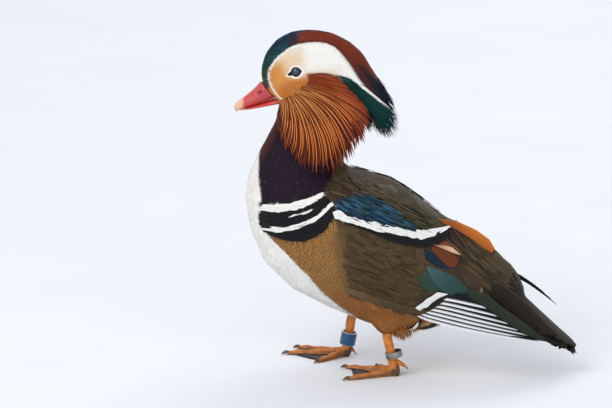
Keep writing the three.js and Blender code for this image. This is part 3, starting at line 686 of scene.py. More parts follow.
@dataclass
class Strands:
    """A growing set of thin closed vanes, all joined in one mesh at the end."""

    points: list[np.ndarray] = field(default_factory=list)
    quads: list[np.ndarray] = field(default_factory=list)
    triangles: list[np.ndarray] = field(default_factory=list)
    colours: list[np.ndarray] = field(default_factory=list)
    masks: list[np.ndarray] = field(default_factory=list)
    vane: list[np.ndarray] = field(default_factory=list)
    bake: list[np.ndarray] = field(default_factory=list)
    count: int = 0
    faces: int = 0

    @staticmethod
    def topology(sections: int, columns: int) -> tuple[np.ndarray, np.ndarray]:
        """Lay out the faces of one vane: a ridged top, a flat underside, a root cap and a point.

        Args:
            sections: Number of cross sections.
            columns: Number of points across each of them.

        Returns:
            The quads and the triangles, as numbers of the vane's points.
        """
        quads, triangles = [], []
        last = columns - 1
        for s in range(sections - 1):
            a, b = s * columns, (s + 1) * columns
            quads += [(a + c, b + c, b + c + 1, a + c + 1) for c in range(last)]
            quads.append((a, a + last, b + last, b))
        end, tip = (sections - 1) * columns, sections * columns
        triangles += [(end + c, tip, end + c + 1) for c in range(last)]
        triangles.append((end, end + last, tip))
        triangles += [(0, c, c + 1) for c in range(1, last)]
        return np.array(quads).reshape(-1, 4), np.array(triangles).reshape(-1, 3)

    def add(self, body: np.ndarray, tips: np.ndarray, colours: np.ndarray, masks: np.ndarray,
            shares: np.ndarray, across: np.ndarray, bake: np.ndarray, patch: np.ndarray) -> None:
        """Add vanes of one build.

        Args:
            body: Points, vane by section by column.
            tips: End points, one for each vane.
            colours: Colours, vane by section by column, with one more section for the tips.
            masks: Masks, laid out as the colours are.
            shares: Place of each section along the vane, and of the tip.
            across: Place of each column across the vane, 0 to 1.
            bake: Place of each vane's patch on the unwrap.
            patch: Size of each vane's patch on the unwrap.
        """
        total, sections, columns, _ = body.shape
        if total == 0:
            return
        quads, triangles = self.topology(sections, columns)
        per = sections * columns + 1
        starts = self.count + np.arange(total)[:, None, None] * per
        self.quads.append((quads[None] + starts).reshape(-1, 4))
        self.triangles.append((triangles[None] + starts).reshape(-1, 3))
        self.points.append(np.concatenate([body.reshape(total, -1, 3), tips[:, None]], axis=1).reshape(-1, 3))
        middle = columns // 2

        def flat(values: np.ndarray) -> np.ndarray:
            """Return values in the order of the vanes' points."""
            ends = values[:, -1, middle][:, None]
            rows = np.concatenate([values[:, :-1].reshape(total, per - 1, -1), ends], axis=1)
            return rows.reshape(total * per, -1)

        self.colours.append(flat(colours))
        self.masks.append(flat(masks))
        u = np.append(np.tile(across, sections), 0.5)
        v = np.append(np.repeat(shares[:-1], columns), shares[-1])
        local = np.stack([u, v], axis=-1)
        self.vane.append(np.tile(local, (total, 1)))
        self.bake.append((bake[:, None] + (local[None] - 0.5) * patch[:, None]).reshape(-1, 2))
        self.count += total * per
        self.faces += total * (2 * len(quads) + len(triangles))

    def build(self, name: str) -> bpy.types.Object:
        """Join everything added so far in one mesh object.

        Args:
            name: Name of the piece.

        Returns:
            The linked object, at the origin.
        """
        points = np.concatenate(self.points)
        quads, triangles = np.concatenate(self.quads), np.concatenate(self.triangles)
        mesh = bpy.data.meshes.new(name)
        mesh.vertices.add(len(points))
        mesh.vertices.foreach_set("co", (points * MM).astype(np.float32).ravel())
        corners = np.concatenate([quads.ravel(), triangles.ravel()]).astype(np.int32)
        starts = np.concatenate([np.arange(len(quads)) * 4, len(quads) * 4 + np.arange(len(triangles)) * 3])
        mesh.loops.add(len(corners))
        mesh.loops.foreach_set("vertex_index", corners)
        mesh.polygons.add(len(starts))
        mesh.polygons.foreach_set("loop_start", starts.astype(np.int32))
        smooth_faces(mesh)
        mesh.update(calc_edges=True)
        mesh.validate()
        mesh.set_sharp_from_angle(angle=RIM_ANGLE)
        for layer, values in (("OFBake", self.bake), ("Vane", self.vane)):
            uv = mesh.uv_layers.new(name=layer)
            uv.data.foreach_set("uv", np.concatenate(values)[corners].astype(np.float32).ravel())
        set_attributes(mesh, np.concatenate(self.colours), np.concatenate(self.masks))
        return linked(name, mesh)


def set_attributes(mesh: bpy.types.Mesh, colours: np.ndarray, masks: np.ndarray | None = None) -> None:
    """Store colours and masks on a mesh's points, for its material to read.

    Args:
        mesh: The mesh.
        colours: Linear colour of each vertex.
        masks: Gloss and waves of each vertex, none where they aren't given.
    """
    count = len(colours)
    masks = np.zeros((count, 2)) if masks is None else masks
    tint = mesh.color_attributes.new(name="Tint", type="FLOAT_COLOR", domain="POINT")
    values = np.concatenate([colours, np.ones((count, 1))], axis=1)
    tint.data.foreach_set("color", values.astype(np.float32).ravel())
    marks = mesh.color_attributes.new(name="Marks", type="FLOAT_COLOR", domain="POINT")
    values = np.concatenate([masks, np.zeros((count, 1)), np.ones((count, 1))], axis=1)
    marks.data.foreach_set("color", values.astype(np.float32).ravel())


def select_only(piece: bpy.types.Object) -> None:
    """Select one object and make it active, with everything else deselected."""
    bpy.ops.object.select_all(action="DESELECT")
    piece.select_set(True)
    bpy.context.view_layer.objects.active = piece


def apply_modifier(piece: bpy.types.Object, kind: str, **values: object) -> None:
    """Add a modifier to a piece, with the given values, and apply it."""
    select_only(piece)
    modifier = piece.modifiers.new(kind.title(), kind)
    for key, value in values.items():
        setattr(modifier, key, value)
    bpy.ops.object.modifier_apply(modifier=modifier.name)


def node_blend(frame: dict, nodes: Iterable[str], name: str, grow: float,
               extra: Sequence[tuple[Point3, float]] = ()) -> bpy.types.Object:
    """Copy frame nodes, merge each one's doubles, make them a little larger and join them.

    Args:
        nodes: Names of the nodes.
        name: Name of the new piece.
        grow: How far each copy's faces move out.
        extra: Balls to add, each a centre and a radius.

    Returns:
        The joined object.
    """
    whole = bmesh.new()
    for node in nodes:
        part = bmesh.new()
        part.from_mesh(frame["nodes"][node].data)
        bmesh.ops.remove_doubles(part, verts=part.verts, dist=1e-6)
        part.normal_update()
        for vertex in part.verts:
            vertex.co += vertex.normal * grow * MM
        scrap = bpy.data.meshes.new("scrap")
        part.to_mesh(scrap)
        whole.from_mesh(scrap)
        part.free()
        bpy.data.meshes.remove(scrap)
    for centre, radius in extra:
        made = bmesh.ops.create_icosphere(whole, subdivisions=3, radius=radius * MM)
        bmesh.ops.translate(whole, verts=made["verts"], vec=[c * MM for c in centre])
    mesh = bpy.data.meshes.new(name)
    whole.to_mesh(mesh)
    whole.free()
    return linked(name, mesh)


class NodeKit:
    """Short ways to add nodes to one tree."""

    def __init__(self, tree: bpy.types.NodeTree) -> None:
        """Work on a tree."""
        self.tree = tree

    def add(self, kind: str, **values: object) -> bpy.types.Node:
        """Add a node. Keys name its properties, or its inputs by number as in_0, or by name as in_Scale."""
        node = self.tree.nodes.new(kind)
        for key, value in values.items():
            if not key.startswith("in_"):
                setattr(node, key, value)
        self.feed(node, **{key[3:]: value for key, value in values.items() if key.startswith("in_")})
        return node

    def feed(self, node: bpy.types.Node, **values: object) -> None:
        """Set or link a node's inputs. Keys are their numbers, or their names with _ for a space."""
        for key, value in values.items():
            socket = node.inputs[int(key)] if key.isdigit() else node.inputs[key.replace("_", " ")]
            if isinstance(value, bpy.types.NodeSocket):
                self.tree.links.new(value, socket)
            else:
                socket.default_value = value

    def emboss(self, shader: bpy.types.Node, height: object, strength: float, distance: float = 0.0002) -> None:
        """Raise a shader's surface by a height, up to a distance in metres."""
        bump = self.add("ShaderNodeBump", in_Strength=strength, in_Distance=distance, in_Height=height)
        self.feed(shader, Normal=bump.outputs[0])

    def maths(self, operation: str, *values: object) -> bpy.types.NodeSocket:
        """Add a Math node and return its result."""
        named = {f"in_{i}": v for i, v in enumerate(values)}
        return self.add("ShaderNodeMath", operation=operation, **named).outputs[0]

    def mix(self, factor: object, first: object, second: object) -> bpy.types.NodeSocket:
        """Add a colour Mix node and return its result."""
        node = self.add("ShaderNodeMix", data_type="RGBA", in_0=factor, in_6=first, in_7=second)
        return node.outputs[2]

    def ramp(self, value: bpy.types.NodeSocket, low: float, high: float, start: float = 0.0, end: float = 1.0
             ) -> bpy.types.NodeSocket:
        """Map a value from low..high to start..end, held at the ends."""
        node = self.add("ShaderNodeMapRange", in_0=value, in_1=low, in_2=high, in_3=start, in_4=end)
        return node.outputs[0]


def effect_group(name: str, inputs: Sequence[tuple[str, str, object]], outputs: Sequence[tuple[str, str]]
                 ) -> tuple[bpy.types.NodeTree, NodeKit, bpy.types.Node, bpy.types.Node]:
    """Start a shader node group.

    Args:
        name: Name of the group.
        inputs: Name, socket type and first value of each input.
        outputs: Name and socket type of each output.

    Returns:
        The group, its node kit, its input node and its output node.
    """
    group = bpy.data.node_groups.new(name, "ShaderNodeTree")
    for label, kind, value in inputs:
        socket = group.interface.new_socket(name=label, in_out="INPUT", socket_type=kind)
        socket.default_value = value
    for label, kind in outputs:
        group.interface.new_socket(name=label, in_out="OUTPUT", socket_type=kind)
    kit = NodeKit(group)
    return group, kit, kit.add("NodeGroupInput"), kit.add("NodeGroupOutput")


class Effects:
    """Node groups that several materials use."""

    def __init__(self) -> None:
        """Build every group once."""
        self.barbs = self.make_barbs()
        self.waves = self.make_waves()
        self.mottle = self.make_mottle()

    def make_barbs(self) -> bpy.types.NodeTree:
        """Build the fine barbs that run out from a feather's shaft.

        Returns:
            The node group.
        """
        group, kit, given, out = effect_group(
            "barbs",
            (("Color", "NodeSocketColor", (1, 1, 1, 1)), ("Contrast", "NodeSocketFloat", 0.3),
             ("Count", "NodeSocketFloat", 26.0)),
            (("Color", "NodeSocketColor"), ("Height", "NodeSocketFloat")),
        )
        place = kit.add("ShaderNodeUVMap", uv_map="Vane")
        parts = kit.add("ShaderNodeSeparateXYZ", in_0=place.outputs[0])
        across = kit.maths("ABSOLUTE", kit.maths("SUBTRACT", parts.outputs[0], 0.5))
        run = kit.maths("SUBTRACT", parts.outputs[1], kit.maths("MULTIPLY", across, 0.7))
        turns = kit.maths("MULTIPLY", run, given.outputs["Count"])
        line = kit.maths("SINE", kit.maths("MULTIPLY", turns, math.tau))
        where = kit.add("ShaderNodeTexCoord")
        grain = kit.add("ShaderNodeTexNoise", in_Vector=where.outputs["Object"], in_Scale=900.0, in_Detail=2.0)
        mixed = kit.maths("ADD", kit.maths("MULTIPLY", line, 0.22), grain.outputs[0])
        shade = kit.ramp(mixed, 0.25, 0.8, -1.0, 1.0)
        factor = kit.maths("ADD", kit.maths("MULTIPLY", shade, given.outputs["Contrast"]), 1.0)
        scaled = kit.add("ShaderNodeVectorMath", operation="SCALE", in_0=given.outputs["Color"],
                         in_Scale=factor)
        kit.feed(out, Color=scaled.outputs[0], Height=mixed)
        return group

    def make_waves(self) -> bpy.types.NodeTree:
        """Build the fine dark waves that cross the flank feathers.

        Returns:
            The node group.
        """
        group, kit, given, out = effect_group(
            "flank_waves",
            (("Color", "NodeSocketColor", (1, 1, 1, 1)), ("Mask", "NodeSocketFloat", 0.0),
             ("Ink", "NodeSocketColor", (0.05, 0.03, 0.02, 1))),
            (("Color", "NodeSocketColor"),),
        )
        where = kit.add("ShaderNodeTexCoord")
        centred = kit.add("ShaderNodeMapping", in_Vector=where.outputs["Object"])
        centred.inputs["Location"].default_value = (0, 0.165, -0.150)
        wave = kit.add("ShaderNodeTexWave", wave_type="RINGS", rings_direction="X",
                       in_Vector=centred.outputs[0], in_Scale=165.0, in_Distortion=5.0, in_Detail=2.0,
                       in_Detail_Scale=2.2)
        lines = kit.ramp(wave.outputs["Fac"], 0.18, 0.62, 1.0, 0.0)
        amount = kit.maths("MULTIPLY", kit.maths("MULTIPLY", lines, given.outputs["Mask"]), 0.72)
        result = kit.mix(amount, given.outputs["Color"], given.outputs["Ink"])
        kit.feed(out, Color=result)
        return group

    def make_mottle(self) -> bpy.types.NodeTree:
        """Build soft blotches and fine grain for skin, horn and plastic.

        Returns:
            The node group.
        """
        group, kit, given, out = effect_group(
            "mottle",
            (("Color", "NodeSocketColor", (1, 1, 1, 1)), ("Other", "NodeSocketColor", (0, 0, 0, 1)),
             ("Scale", "NodeSocketFloat", 200.0), ("Amount", "NodeSocketFloat", 0.5)),
            (("Color", "NodeSocketColor"), ("Height", "NodeSocketFloat")),
        )
        where = kit.add("ShaderNodeTexCoord")
        noise = kit.add("ShaderNodeTexNoise", in_Vector=where.outputs["Object"],
                        in_Scale=given.outputs["Scale"], in_Detail=4.0, in_Roughness=0.6)
        share = kit.maths("MULTIPLY", kit.ramp(noise.outputs[0], 0.35, 0.7), given.outputs["Amount"])
        mixed_tones = kit.mix(share, given.outputs["Color"], given.outputs["Other"])
        kit.feed(out, Color=mixed_tones, Height=noise.outputs[0])
        return group


def begin_material(name: str) -> tuple[bpy.types.Material, NodeKit, bpy.types.Node]:
    """Start a node material with one Principled shader.

    Args:
        name: Name of the material.

    Returns:
        The material, its node kit and its shader node.
    """
    material = bpy.data.materials.new(name)
    material.use_nodes = True
    kit = NodeKit(material.node_tree)
    shader = next(n for n in material.node_tree.nodes if n.type == "BSDF_PRINCIPLED")
    return material, kit, shader


@dataclass(frozen=True)
class FeatherFinish:
    """Finish of plumage, coloured by the feathers' own attribute."""

    name: str
    roughness: float = 0.68
    contrast: float = 0.14
    barbs: float = 14.0
    sheen: float = 0.01
    bump: float = 0.25
    metal: float = 0.7
    gloss_roughness: float = 0.42
    specular: float = 0.12

    def make(self, effects: Effects) -> bpy.types.Material:
        """Build the material.

        Args:
            effects: The shared node groups.

        Returns:
            The finished material.
        """
        material, kit, shader = begin_material(self.name)
        tint = kit.add("ShaderNodeAttribute", attribute_name="Tint")
        marks = kit.add("ShaderNodeAttribute", attribute_name="Marks")
        masks = kit.add("ShaderNodeSeparateColor", in_0=marks.outputs["Color"])
        waves = kit.add("ShaderNodeGroup", node_tree=effects.waves, in_Color=tint.outputs["Color"],
                        in_Mask=masks.outputs[1])
        barbs = kit.add("ShaderNodeGroup", node_tree=effects.barbs, in_Color=waves.outputs[0],
                        in_Contrast=self.contrast, in_Count=self.barbs)
        metal = kit.maths("MULTIPLY", masks.outputs[0], self.metal)
        rough = kit.ramp(masks.outputs[0], 0.0, 0.6, self.roughness, self.gloss_roughness)
        kit.feed(shader, Base_Color=barbs.outputs["Color"], Metallic=metal, Roughness=rough,
                 Sheen_Weight=self.sheen, Sheen_Roughness=0.5, Specular_IOR_Level=self.specular)
        kit.emboss(shader, barbs.outputs["Height"], self.bump)
        return material


@dataclass(frozen=True)
class TintedFinish:
    """Finish of bare skin or horn, coloured by its own attribute and mottled."""

    name: str
    roughness: float
    other: Rgb
    scale: float
    amount: float
    bump: float
    distance: float = 0.0003
    coat: float = 0.0
    rough_spread: float = 0.12
    subsurface: float = 0.0

    def make(self, effects: Effects) -> bpy.types.Material:
        """Build the material.

        Args:
            effects: The shared node groups.

        Returns:
            The finished material.
        """
        material, kit, shader = begin_material(self.name)
        tint = kit.add("ShaderNodeAttribute", attribute_name="Tint")
        mottle = kit.add("ShaderNodeGroup", node_tree=effects.mottle, in_Color=tint.outputs["Color"],
                         in_Other=(*linear(self.other), 1), in_Scale=self.scale, in_Amount=self.amount)
        low, high = self.roughness - self.rough_spread, self.roughness + self.rough_spread
        rough = kit.ramp(mottle.outputs["Height"], 0.3, 0.7, low, high)
        kit.feed(shader, Base_Color=mottle.outputs["Color"], Roughness=rough, Coat_Weight=self.coat,
                 Coat_Roughness=0.15, Subsurface_Weight=self.subsurface, Subsurface_Scale=0.002)
        kit.emboss(shader, mottle.outputs["Height"], self.bump, self.distance)
        return material


@dataclass(frozen=True)
class HardFinish:
    """Finish of a ring, an eye or the floor: one main colour with wear."""

    name: str
    colour: Rgb
    other: Rgb
    roughness: float
    metallic: float = 0.0
    scale: float = 300.0
    amount: float = 0.4
    coat: float = 0.0
    bump: float = 0.1

    def make(self, effects: Effects) -> bpy.types.Material:
        """Build the material.

        Args:
            effects: The shared node groups.

        Returns:
            The finished material.
        """
        material, kit, shader = begin_material(self.name)
        mottle = kit.add("ShaderNodeGroup", node_tree=effects.mottle, in_Color=(*linear(self.colour), 1),
                         in_Other=(*linear(self.other), 1), in_Scale=self.scale, in_Amount=self.amount)
        rough = kit.ramp(mottle.outputs["Height"], 0.3, 0.7, self.roughness * 0.8, self.roughness * 1.2)
        kit.feed(shader, Base_Color=mottle.outputs["Color"], Roughness=rough, Metallic=self.metallic,
                 Coat_Weight=self.coat, Coat_Roughness=0.04)
        kit.emboss(shader, mottle.outputs["Height"], self.bump)
        return material


@dataclass
class Workshop:
    """What every sub-assembly uses."""

    frame: dict
    effects: Effects
    almond: Almond
    plumage: Plumage
    eye: Point3
    eye_radius: float
    surface: Surface | None = None

    def place(self, piece: bpy.types.Object, material: bpy.types.Material, slot: str, nodes: Sequence[str] = ()
              ) -> bpy.types.Object:
        """Dress a piece, fix it to the bird and report it.

        Args:
            piece: The finished object.
            material: Its material.
            slot: Not used.
            nodes: Frame nodes it stands for.

        Returns:
            The piece.
        """
        piece.data.materials.clear()
        piece.data.materials.append(material)
        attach(piece, "root")
        if nodes:
            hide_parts(*nodes)
        LOG.info("%s: %d faces", piece.name, len(piece.data.polygons))
        return piece


FLESH = (
    "neck", "breast", "trunk", "scapulars_left", "scapulars_right", "wing_left", "wing_right", "tertials_left",
    "tertials_right", "flank_left", "flank_right", "head", "crest", "nape_plume", "ruff_left", "ruff_right",
    "thigh_left", "thigh_right", "tail",
)


@dataclass
class Skin:
    """The one skin under the coat, with the lids and the openings for the eyes."""

    shop: Workshop
    voxel: float = 1.5
    grow: float = 0.3
    smoothing: int = 46
    lid: float = 0.45
    plug_out: float = 16.2
    plug_wall: float = 1.6
    fine_reach: float = 10.5
    lid_reach: float = 9.5
    loose_root: Point2 = (-36, 250)
    loose_way: Point2 = (0.6, -0.8)

    def build(self) -> bpy.types.Object:
        """Make the skin and put it in the workshop for the coat.

        Returns:
            The skin's object.
        """
        _, y, z = self.shop.eye
        plug = self.shop.eye_radius + self.plug_wall
        balls = [((side * (self.plug_out - plug), y, z), plug) for _, side in PAIR]
        piece = node_blend(self.shop.frame, FLESH, "skin", self.grow, balls)
        apply_modifier(piece, "REMESH", mode="VOXEL", voxel_size=self.voxel * MM)
        points, edges = mesh_points(piece.data), mesh_edges(piece.data)
        smooth = evened(points, edges, self.smoothing)
        move_points(piece.data, self.draw_in(smooth + evened(points - smooth, edges, self.smoothing)))
        self.sink(piece.data)
        self.refine(piece.data)
        self.open_eyes(piece.data)
        self.unwrap(piece)
        points, normals = mesh_points(piece.data), mesh_normals(piece.data)
        colours, masks = self.shop.plumage.paint(points, normals)
        # painted shade: the skin under the coat takes the markings 3% darker, for the shade in the gaps between
        # feathers
        set_attributes(piece.data, colours * 0.97, masks)
        smooth_faces(piece.data)
        self.shop.surface = Surface(piece.data)
        finish = TintedFinish("bare skin", 0.7, (120, 90, 80), 500, 0.08, 0.2)
        return self.shop.place(piece, finish.make(self.shop.effects), "white_feathers", FLESH)

    def draw_in(self, points: np.ndarray) -> np.ndarray:
        """Shorten the end of crest and nape, whose loose plumes reach further than the skin."""
        way = np.array([0, *self.loose_way])
        along = (points - np.array([0, *self.loose_root])) @ way
        loose = np.clip(along - 12, 0, None) * (points[:, 2] > 205) * (points[:, 1] > -40)
        return points - way * (loose * 0.4)[:, None]

    def sink(self, mesh: bpy.types.Mesh) -> None:
        """Lower the skin by the coat's depth, which fades from region to region."""
        points, normals = mesh_points(mesh), mesh_normals(mesh)
        depths = np.array([r.depth for r in REGIONS])[region_of(points)]
        depths = evened(depths, mesh_edges(mesh), 14, 0.7)
        move_points(mesh, points - normals * depths[:, None])

    def refine(self, mesh: bpy.types.Mesh) -> None:
        """Divide the faces round both eyes finely."""
        shaped = bmesh.new()
        shaped.from_mesh(mesh)
        _, y, z = self.shop.eye
        near = {
            v for v in shaped.verts
            if abs(v.co.x) > CHEEK * MM and math.hypot(v.co.y / MM - y, v.co.z / MM - z) < self.fine_reach
        }
        edges = [e for e in shaped.edges if e.verts[0] in near and e.verts[1] in near]
        bmesh.ops.subdivide_edges(shaped, edges=edges, cuts=3, use_grid_fill=True)
        bmesh.ops.triangulate(shaped, faces=[f for f in shaped.faces if len(f.verts) > 4])
        shaped.to_mesh(mesh)
        shaped.free()

    def open_eyes(self, mesh: bpy.types.Mesh) -> None:
        """Fit the lids to the eyes and push the almond openings in behind them."""
        points = mesh_points(mesh)
        ex, ey, ez = self.shop.eye
        radius = self.shop.eye_radius
        for _, side in PAIR:
            out = points[:, 0] * side
            reach = np.hypot(points[:, 1] - ey, points[:, 2] - ez)
            near = (out > CHEEK) & (reach < self.lid_reach)
            beyond = self.shop.almond.outside(points)
            lid = ex + np.sqrt(np.clip((radius + self.lid) ** 2 - reach**2, 0, None))
            fade = np.clip((radius + self.lid - reach) / 1.5, 0, 1)
            shaped = np.maximum(out, np.where(fade > 0, lid * fade + out * (1 - fade), out))
            inner = ex + np.sqrt(np.clip(radius**2 - reach**2, 0.2, None)) - 1.1
            shaped = np.where(beyond < -0.8, np.minimum(shaped, inner), shaped)
            points[near, 0] = (shaped * side)[near]
        move_points(mesh, points)

    def unwrap(self, piece: bpy.types.Object) -> None:
        """Unwrap the skin by its own shape."""
        select_only(piece)
        piece.data.uv_layers.new(name="OFBake")
        bpy.ops.object.mode_set(mode="EDIT")
        bpy.ops.mesh.select_all(action="SELECT")
        bpy.ops.uv.smart_project(angle_limit=math.radians(70), island_margin=0.002)
        bpy.ops.object.mode_set(mode="OBJECT")


@dataclass(frozen=True)
class Shape:
    """How a kind of feather is cut: its half-width at shares of its length, its columns, and its painted shade,
    which darkens it towards its root and its sides.
    """

    shares: Sequence[float]
    profile: Sequence[float]
    columns: int = 3
    ridge: float = 0.1
    uneven: float = 0.11
    painted_shade: float = 0.04


SHAPES: dict[Kind, Shape] = {
    Kind.HAIR: Shape((0.0, 0.35, 0.72, 1.0), (0.6, 1.0, 0.72)),
    Kind.TUFT: Shape((0.0, 0.4, 0.8, 1.0), (0.5, 1.0, 0.72)),
    Kind.SCALE: Shape((0.0, 0.3, 0.6, 0.8, 0.92, 1.0), (0.5, 0.9, 1.0, 0.88, 0.58), 5, 0.035, 0.2, 0.16),
}


@dataclass
class Coat:
    """The scattered feathers: tufts on face, neck, breast and belly, rounder ones on back and wings."""

    shop: Workshop
    most_faces: int = 190000
    patch: float = 0.003
    buried: float = 0.35
    jitter: float = 0.12
    follow: float = 0.45
    turn: float = 0.75
    row_steps: Point2 = (1.35, 0.85)
    row_centre: Point2 = (20, 110)
    flow: Flow = field(default_factory=lambda: Flow(GUIDES))
    chooser: np.random.Generator = field(default_factory=lambda: np.random.default_rng(SEED))

    def trace(self, roots: np.ndarray, normals: np.ndarray, lengths: np.ndarray, shares: Sequence[float]
              ) -> tuple[np.ndarray, np.ndarray, np.ndarray]:
        """Run centre lines over the skin along the lie of the coat.

        Args:
            roots: Root points.
            normals: Outward directions at the roots.
            lengths: Length of each feather.
            shares: Places of the sections along a feather.

        Returns:
            Centre points, running directions and outward directions, feather by section.
        """
        place, normal = roots.copy(), normals.copy()
        centres, ways, outs = [], [], []
        before = None
        lean = self.chooser.normal(0, self.jitter, (len(roots), 1))
        for index, share in enumerate(shares):
            way = self.flow.at(place)
            way -= (way * normal).sum(axis=1, keepdims=True) * normal
            way = unit(unit(way) + np.cross(normal, unit(way)) * lean)
            if before is not None:
                way = unit(way * 0.6 + before * 0.4)
            centres.append(place)
            ways.append(way)
            outs.append(normal)
            if index == len(shares) - 1:
                break
            step = lengths[:, None] * (shares[index + 1] - share)
            ahead = place + way * step
            ground, out = self.shop.surface.nearest(ahead)
            pull = ground - ahead
            size = np.linalg.norm(pull, axis=1, keepdims=True)
            held = np.minimum(1, self.follow * step / np.maximum(size, 1e-6))
            place = ahead + pull * held
            normal = unit(normal * (1 - self.turn * held) + out * self.turn * held)
            before = way
        return np.stack(centres, 1), np.stack(ways, 1), np.stack(outs, 1)

    def rows(self, region: Region, side: int) -> tuple[np.ndarray, np.ndarray, np.ndarray]:
        """Set roots in even, staggered rows along the lie of the wing.

        Args:
            region: The region, drawn from the side.
            side: 1 for the left wing, -1 for the right one.

        Returns:
            Root points, outward directions and places on the unwrap.
        """
        surface, step = self.shop.surface, region.spacing
        along, across = np.meshgrid(np.arange(-40, 40), np.arange(-40, 40))
        along = (along + 0.5 * (across % 2)) * step * self.row_steps[0]
        across = across * step * self.row_steps[1]
        ahead, aside = ROW_WAY
        places = np.stack([along * ahead - across * aside, along * aside + across * ahead], -1)
        places = places.reshape(-1, 2) + self.row_centre
        places = places[outline_distance(places, region.area) > -step * 0.4]
        places = places + self.chooser.uniform(-self.jitter, self.jitter, places.shape) * step
        roots, normals, spots = [], [], []
        for place in places.tolist():
            hit = surface.tree.ray_cast((side * CLEAR, *place), (-side, 0, 0))
            if hit[0] is not None and hit[0][0] * side > 3:
                roots.append(hit[0])
                normals.append(surface.face_normals[hit[2]])
                spots.append(surface.unwrap[hit[2]].mean(axis=0))
        return np.array(roots), np.array(normals), np.array(spots)

    def grow(self, region: Region, chance: np.ndarray) -> Strands:
        """Grow one region's feathers.

        Args:
            region: The region.
            chance: For each triangle of the skin, 1 where the region is.

        Returns:
            The feathers.
        """
        shop, chooser = self.shop, self.chooser
        if region.rows:
            roots, normals, places = self.rows(region, 1 if chance @ shop.surface.centres[:, 0] > 0 else -1)
        else:
            roots, normals, places = shop.surface.scattered(chooser, region.spacing, chance)
        strands = Strands()
        lengths = region.length * chooser.uniform(0.8, 1.15, len(roots))
        widths = region.width * chooser.uniform(0.85, 1.15, len(roots)) / 2
        if region.name == "face":
            clear = np.where(np.abs(roots[:, 0]) > CHEEK, shop.almond.outside(roots), 20)
            kept = clear > 0.15
            roots, normals, places, lengths, widths = (
                a[kept] for a in (roots, normals, places, lengths, widths)
            )
            clear = clear[kept]
            lengths = np.minimum(lengths, 1.2 + 0.45 * clear)
            beak = np.linalg.norm(roots[:, 1:] - np.array((-122, 250)), axis=1)
            lengths = np.minimum(lengths, 2.0 + beak * 0.12)
        shape = SHAPES[region.kind]
        shares = shape.shares
        centres, ways, outs = self.trace(roots, normals, lengths, shares)
        if region.name == "face":
            over = np.stack([shop.almond.outside(centres[:, i]) for i in range(1, len(shares))]).min(axis=0)
            kept = (over > 0.05) | (np.abs(roots[:, 0]) < CHEEK)
            roots, normals, places, lengths, widths, centres, ways, outs = (
                a[kept] for a in (roots, normals, places, lengths, widths, centres, ways, outs)
            )
        rise = -self.buried + (region.lift + self.buried) * np.array(shares) ** 1.15
        lift = rise[None, :, None] * chooser.uniform(0.8, 1.2, (len(roots), 1, 1))
        columns = np.linspace(-1, 1, shape.columns)
        sides = np.cross(outs, ways)[:, :-1, None]
        half = widths[:, None] * np.array(shape.profile)
        spots = centres[:, :-1, None] + sides * (half[..., None] * columns)[..., None]
        lifted = np.repeat(outs[:, :-1, None], len(columns), axis=2)
        if region.kind is Kind.SCALE:
            spots, lifted = shop.surface.drape(spots, lifted)
        ridge = (shape.ridge * half + 0.05)[..., None] * (1 - columns**2)
        body = spots + lifted * (lift[:, :-1] + ridge)[..., None]
        colours, masks = shop.plumage.paint(centres.reshape(-1, 3), outs.reshape(-1, 3))
        colours = colours.reshape(*centres.shape)
        uneven = 0.02 + shape.uneven * np.exp(-colours[:, :1].mean(axis=2) / 0.12)
        colours = colours * np.clip(1 + chooser.normal(0, 1, (len(roots), 1, 1)) * uneven[..., None], 0.4, 1.8)
        # painted shade: each feather's colour darkens towards its root and towards its sides, by its shape's share
        # of painted shade
        along = np.linspace(1 - shape.painted_shade, 1.01, len(shares))[None, :, None, None]
        across = (1 - shape.painted_shade / 2 * np.abs(columns))[None, None, :, None]
        shade = np.clip(colours[:, :, None] * along * across, 0, 0.93)
        mask = np.broadcast_to(masks.reshape(*centres.shape[:2], 1, 2), (*shade.shape[:3], 2))
        patch = np.full((len(roots), 1), self.patch)
        tips = centres[:, -1] + outs[:, -1] * lift[:, -1]
        strands.add(body, tips, shade, mask, np.array(shares), (columns + 1) / 2, places, patch)
        return strands

    def build(self) -> None:
        """Grow and dress every region, in pieces that stay small enough."""
        centres = self.shop.surface.centres
        held = region_of(centres)
        finish = FeatherFinish("soft plumage", contrast=0.1, bump=0.2).make(self.shop.effects)
        broad = FeatherFinish("wing plumage", 0.6, 0.2, 34, bump=0.3).make(self.shop.effects)
        for index, region in enumerate(REGIONS):
            inside = held == index
            halves = {"_left": centres[:, 0] >= 0, "_right": centres[:, 0] < 0}
            if region.name == "tail":
                halves = {"": np.ones(len(centres), bool)}
            for ending, half in halves.items():
                strands = self.grow(region, (inside & half).astype(float))
                if strands.faces > self.most_faces:
                    LOG.warning("%s%s has %d triangles", region.name, ending, strands.faces)
                piece = strands.build(f"coat_{region.name}{ending}")
                material = broad if region.kind is Kind.SCALE else finish
                self.shop.place(piece, material, region.slot)


@dataclass(frozen=True)
class Quill:
    """One long feather, drawn from the side on the bird's left, or in space.

    path runs from root to tip, in y and z, or in x, y and z. rise is its height over the skin at root and
    tip. edges, where given, are the feather's upper and lower outline instead, both from root to tip.
    Without a colour of its own it takes the plumage's markings. edge is the share of the half-width that its
    upper or lower edge colour takes. swell and taper say where along it the width is reached and left again.
    """

    path: Sequence[Sequence[float]]
    width: float
    rise: Point2 = (1.2, 2.0)
    colour: Rgb | None = None
    root: Rgb | None = None
    upper: Rgb | None = None
    lower: Rgb | None = None
    shaft: Rgb | None = None
    tip: Rgb | None = None
    edge: float = 0.25
    gloss: float = 0.0
    swell: float = 0.3
    taper: float = 0.6
    power: float = 2.0
    camber: float = 0.3
    rows: int = 12
    hug: bool = True
    facing: Point3 | None = None
    bend: float = 0.0
    sides: tuple[int, ...] = (1, -1)
    edges: tuple[Sequence[Sequence[float]], Sequence[Sequence[float]]] | None = None


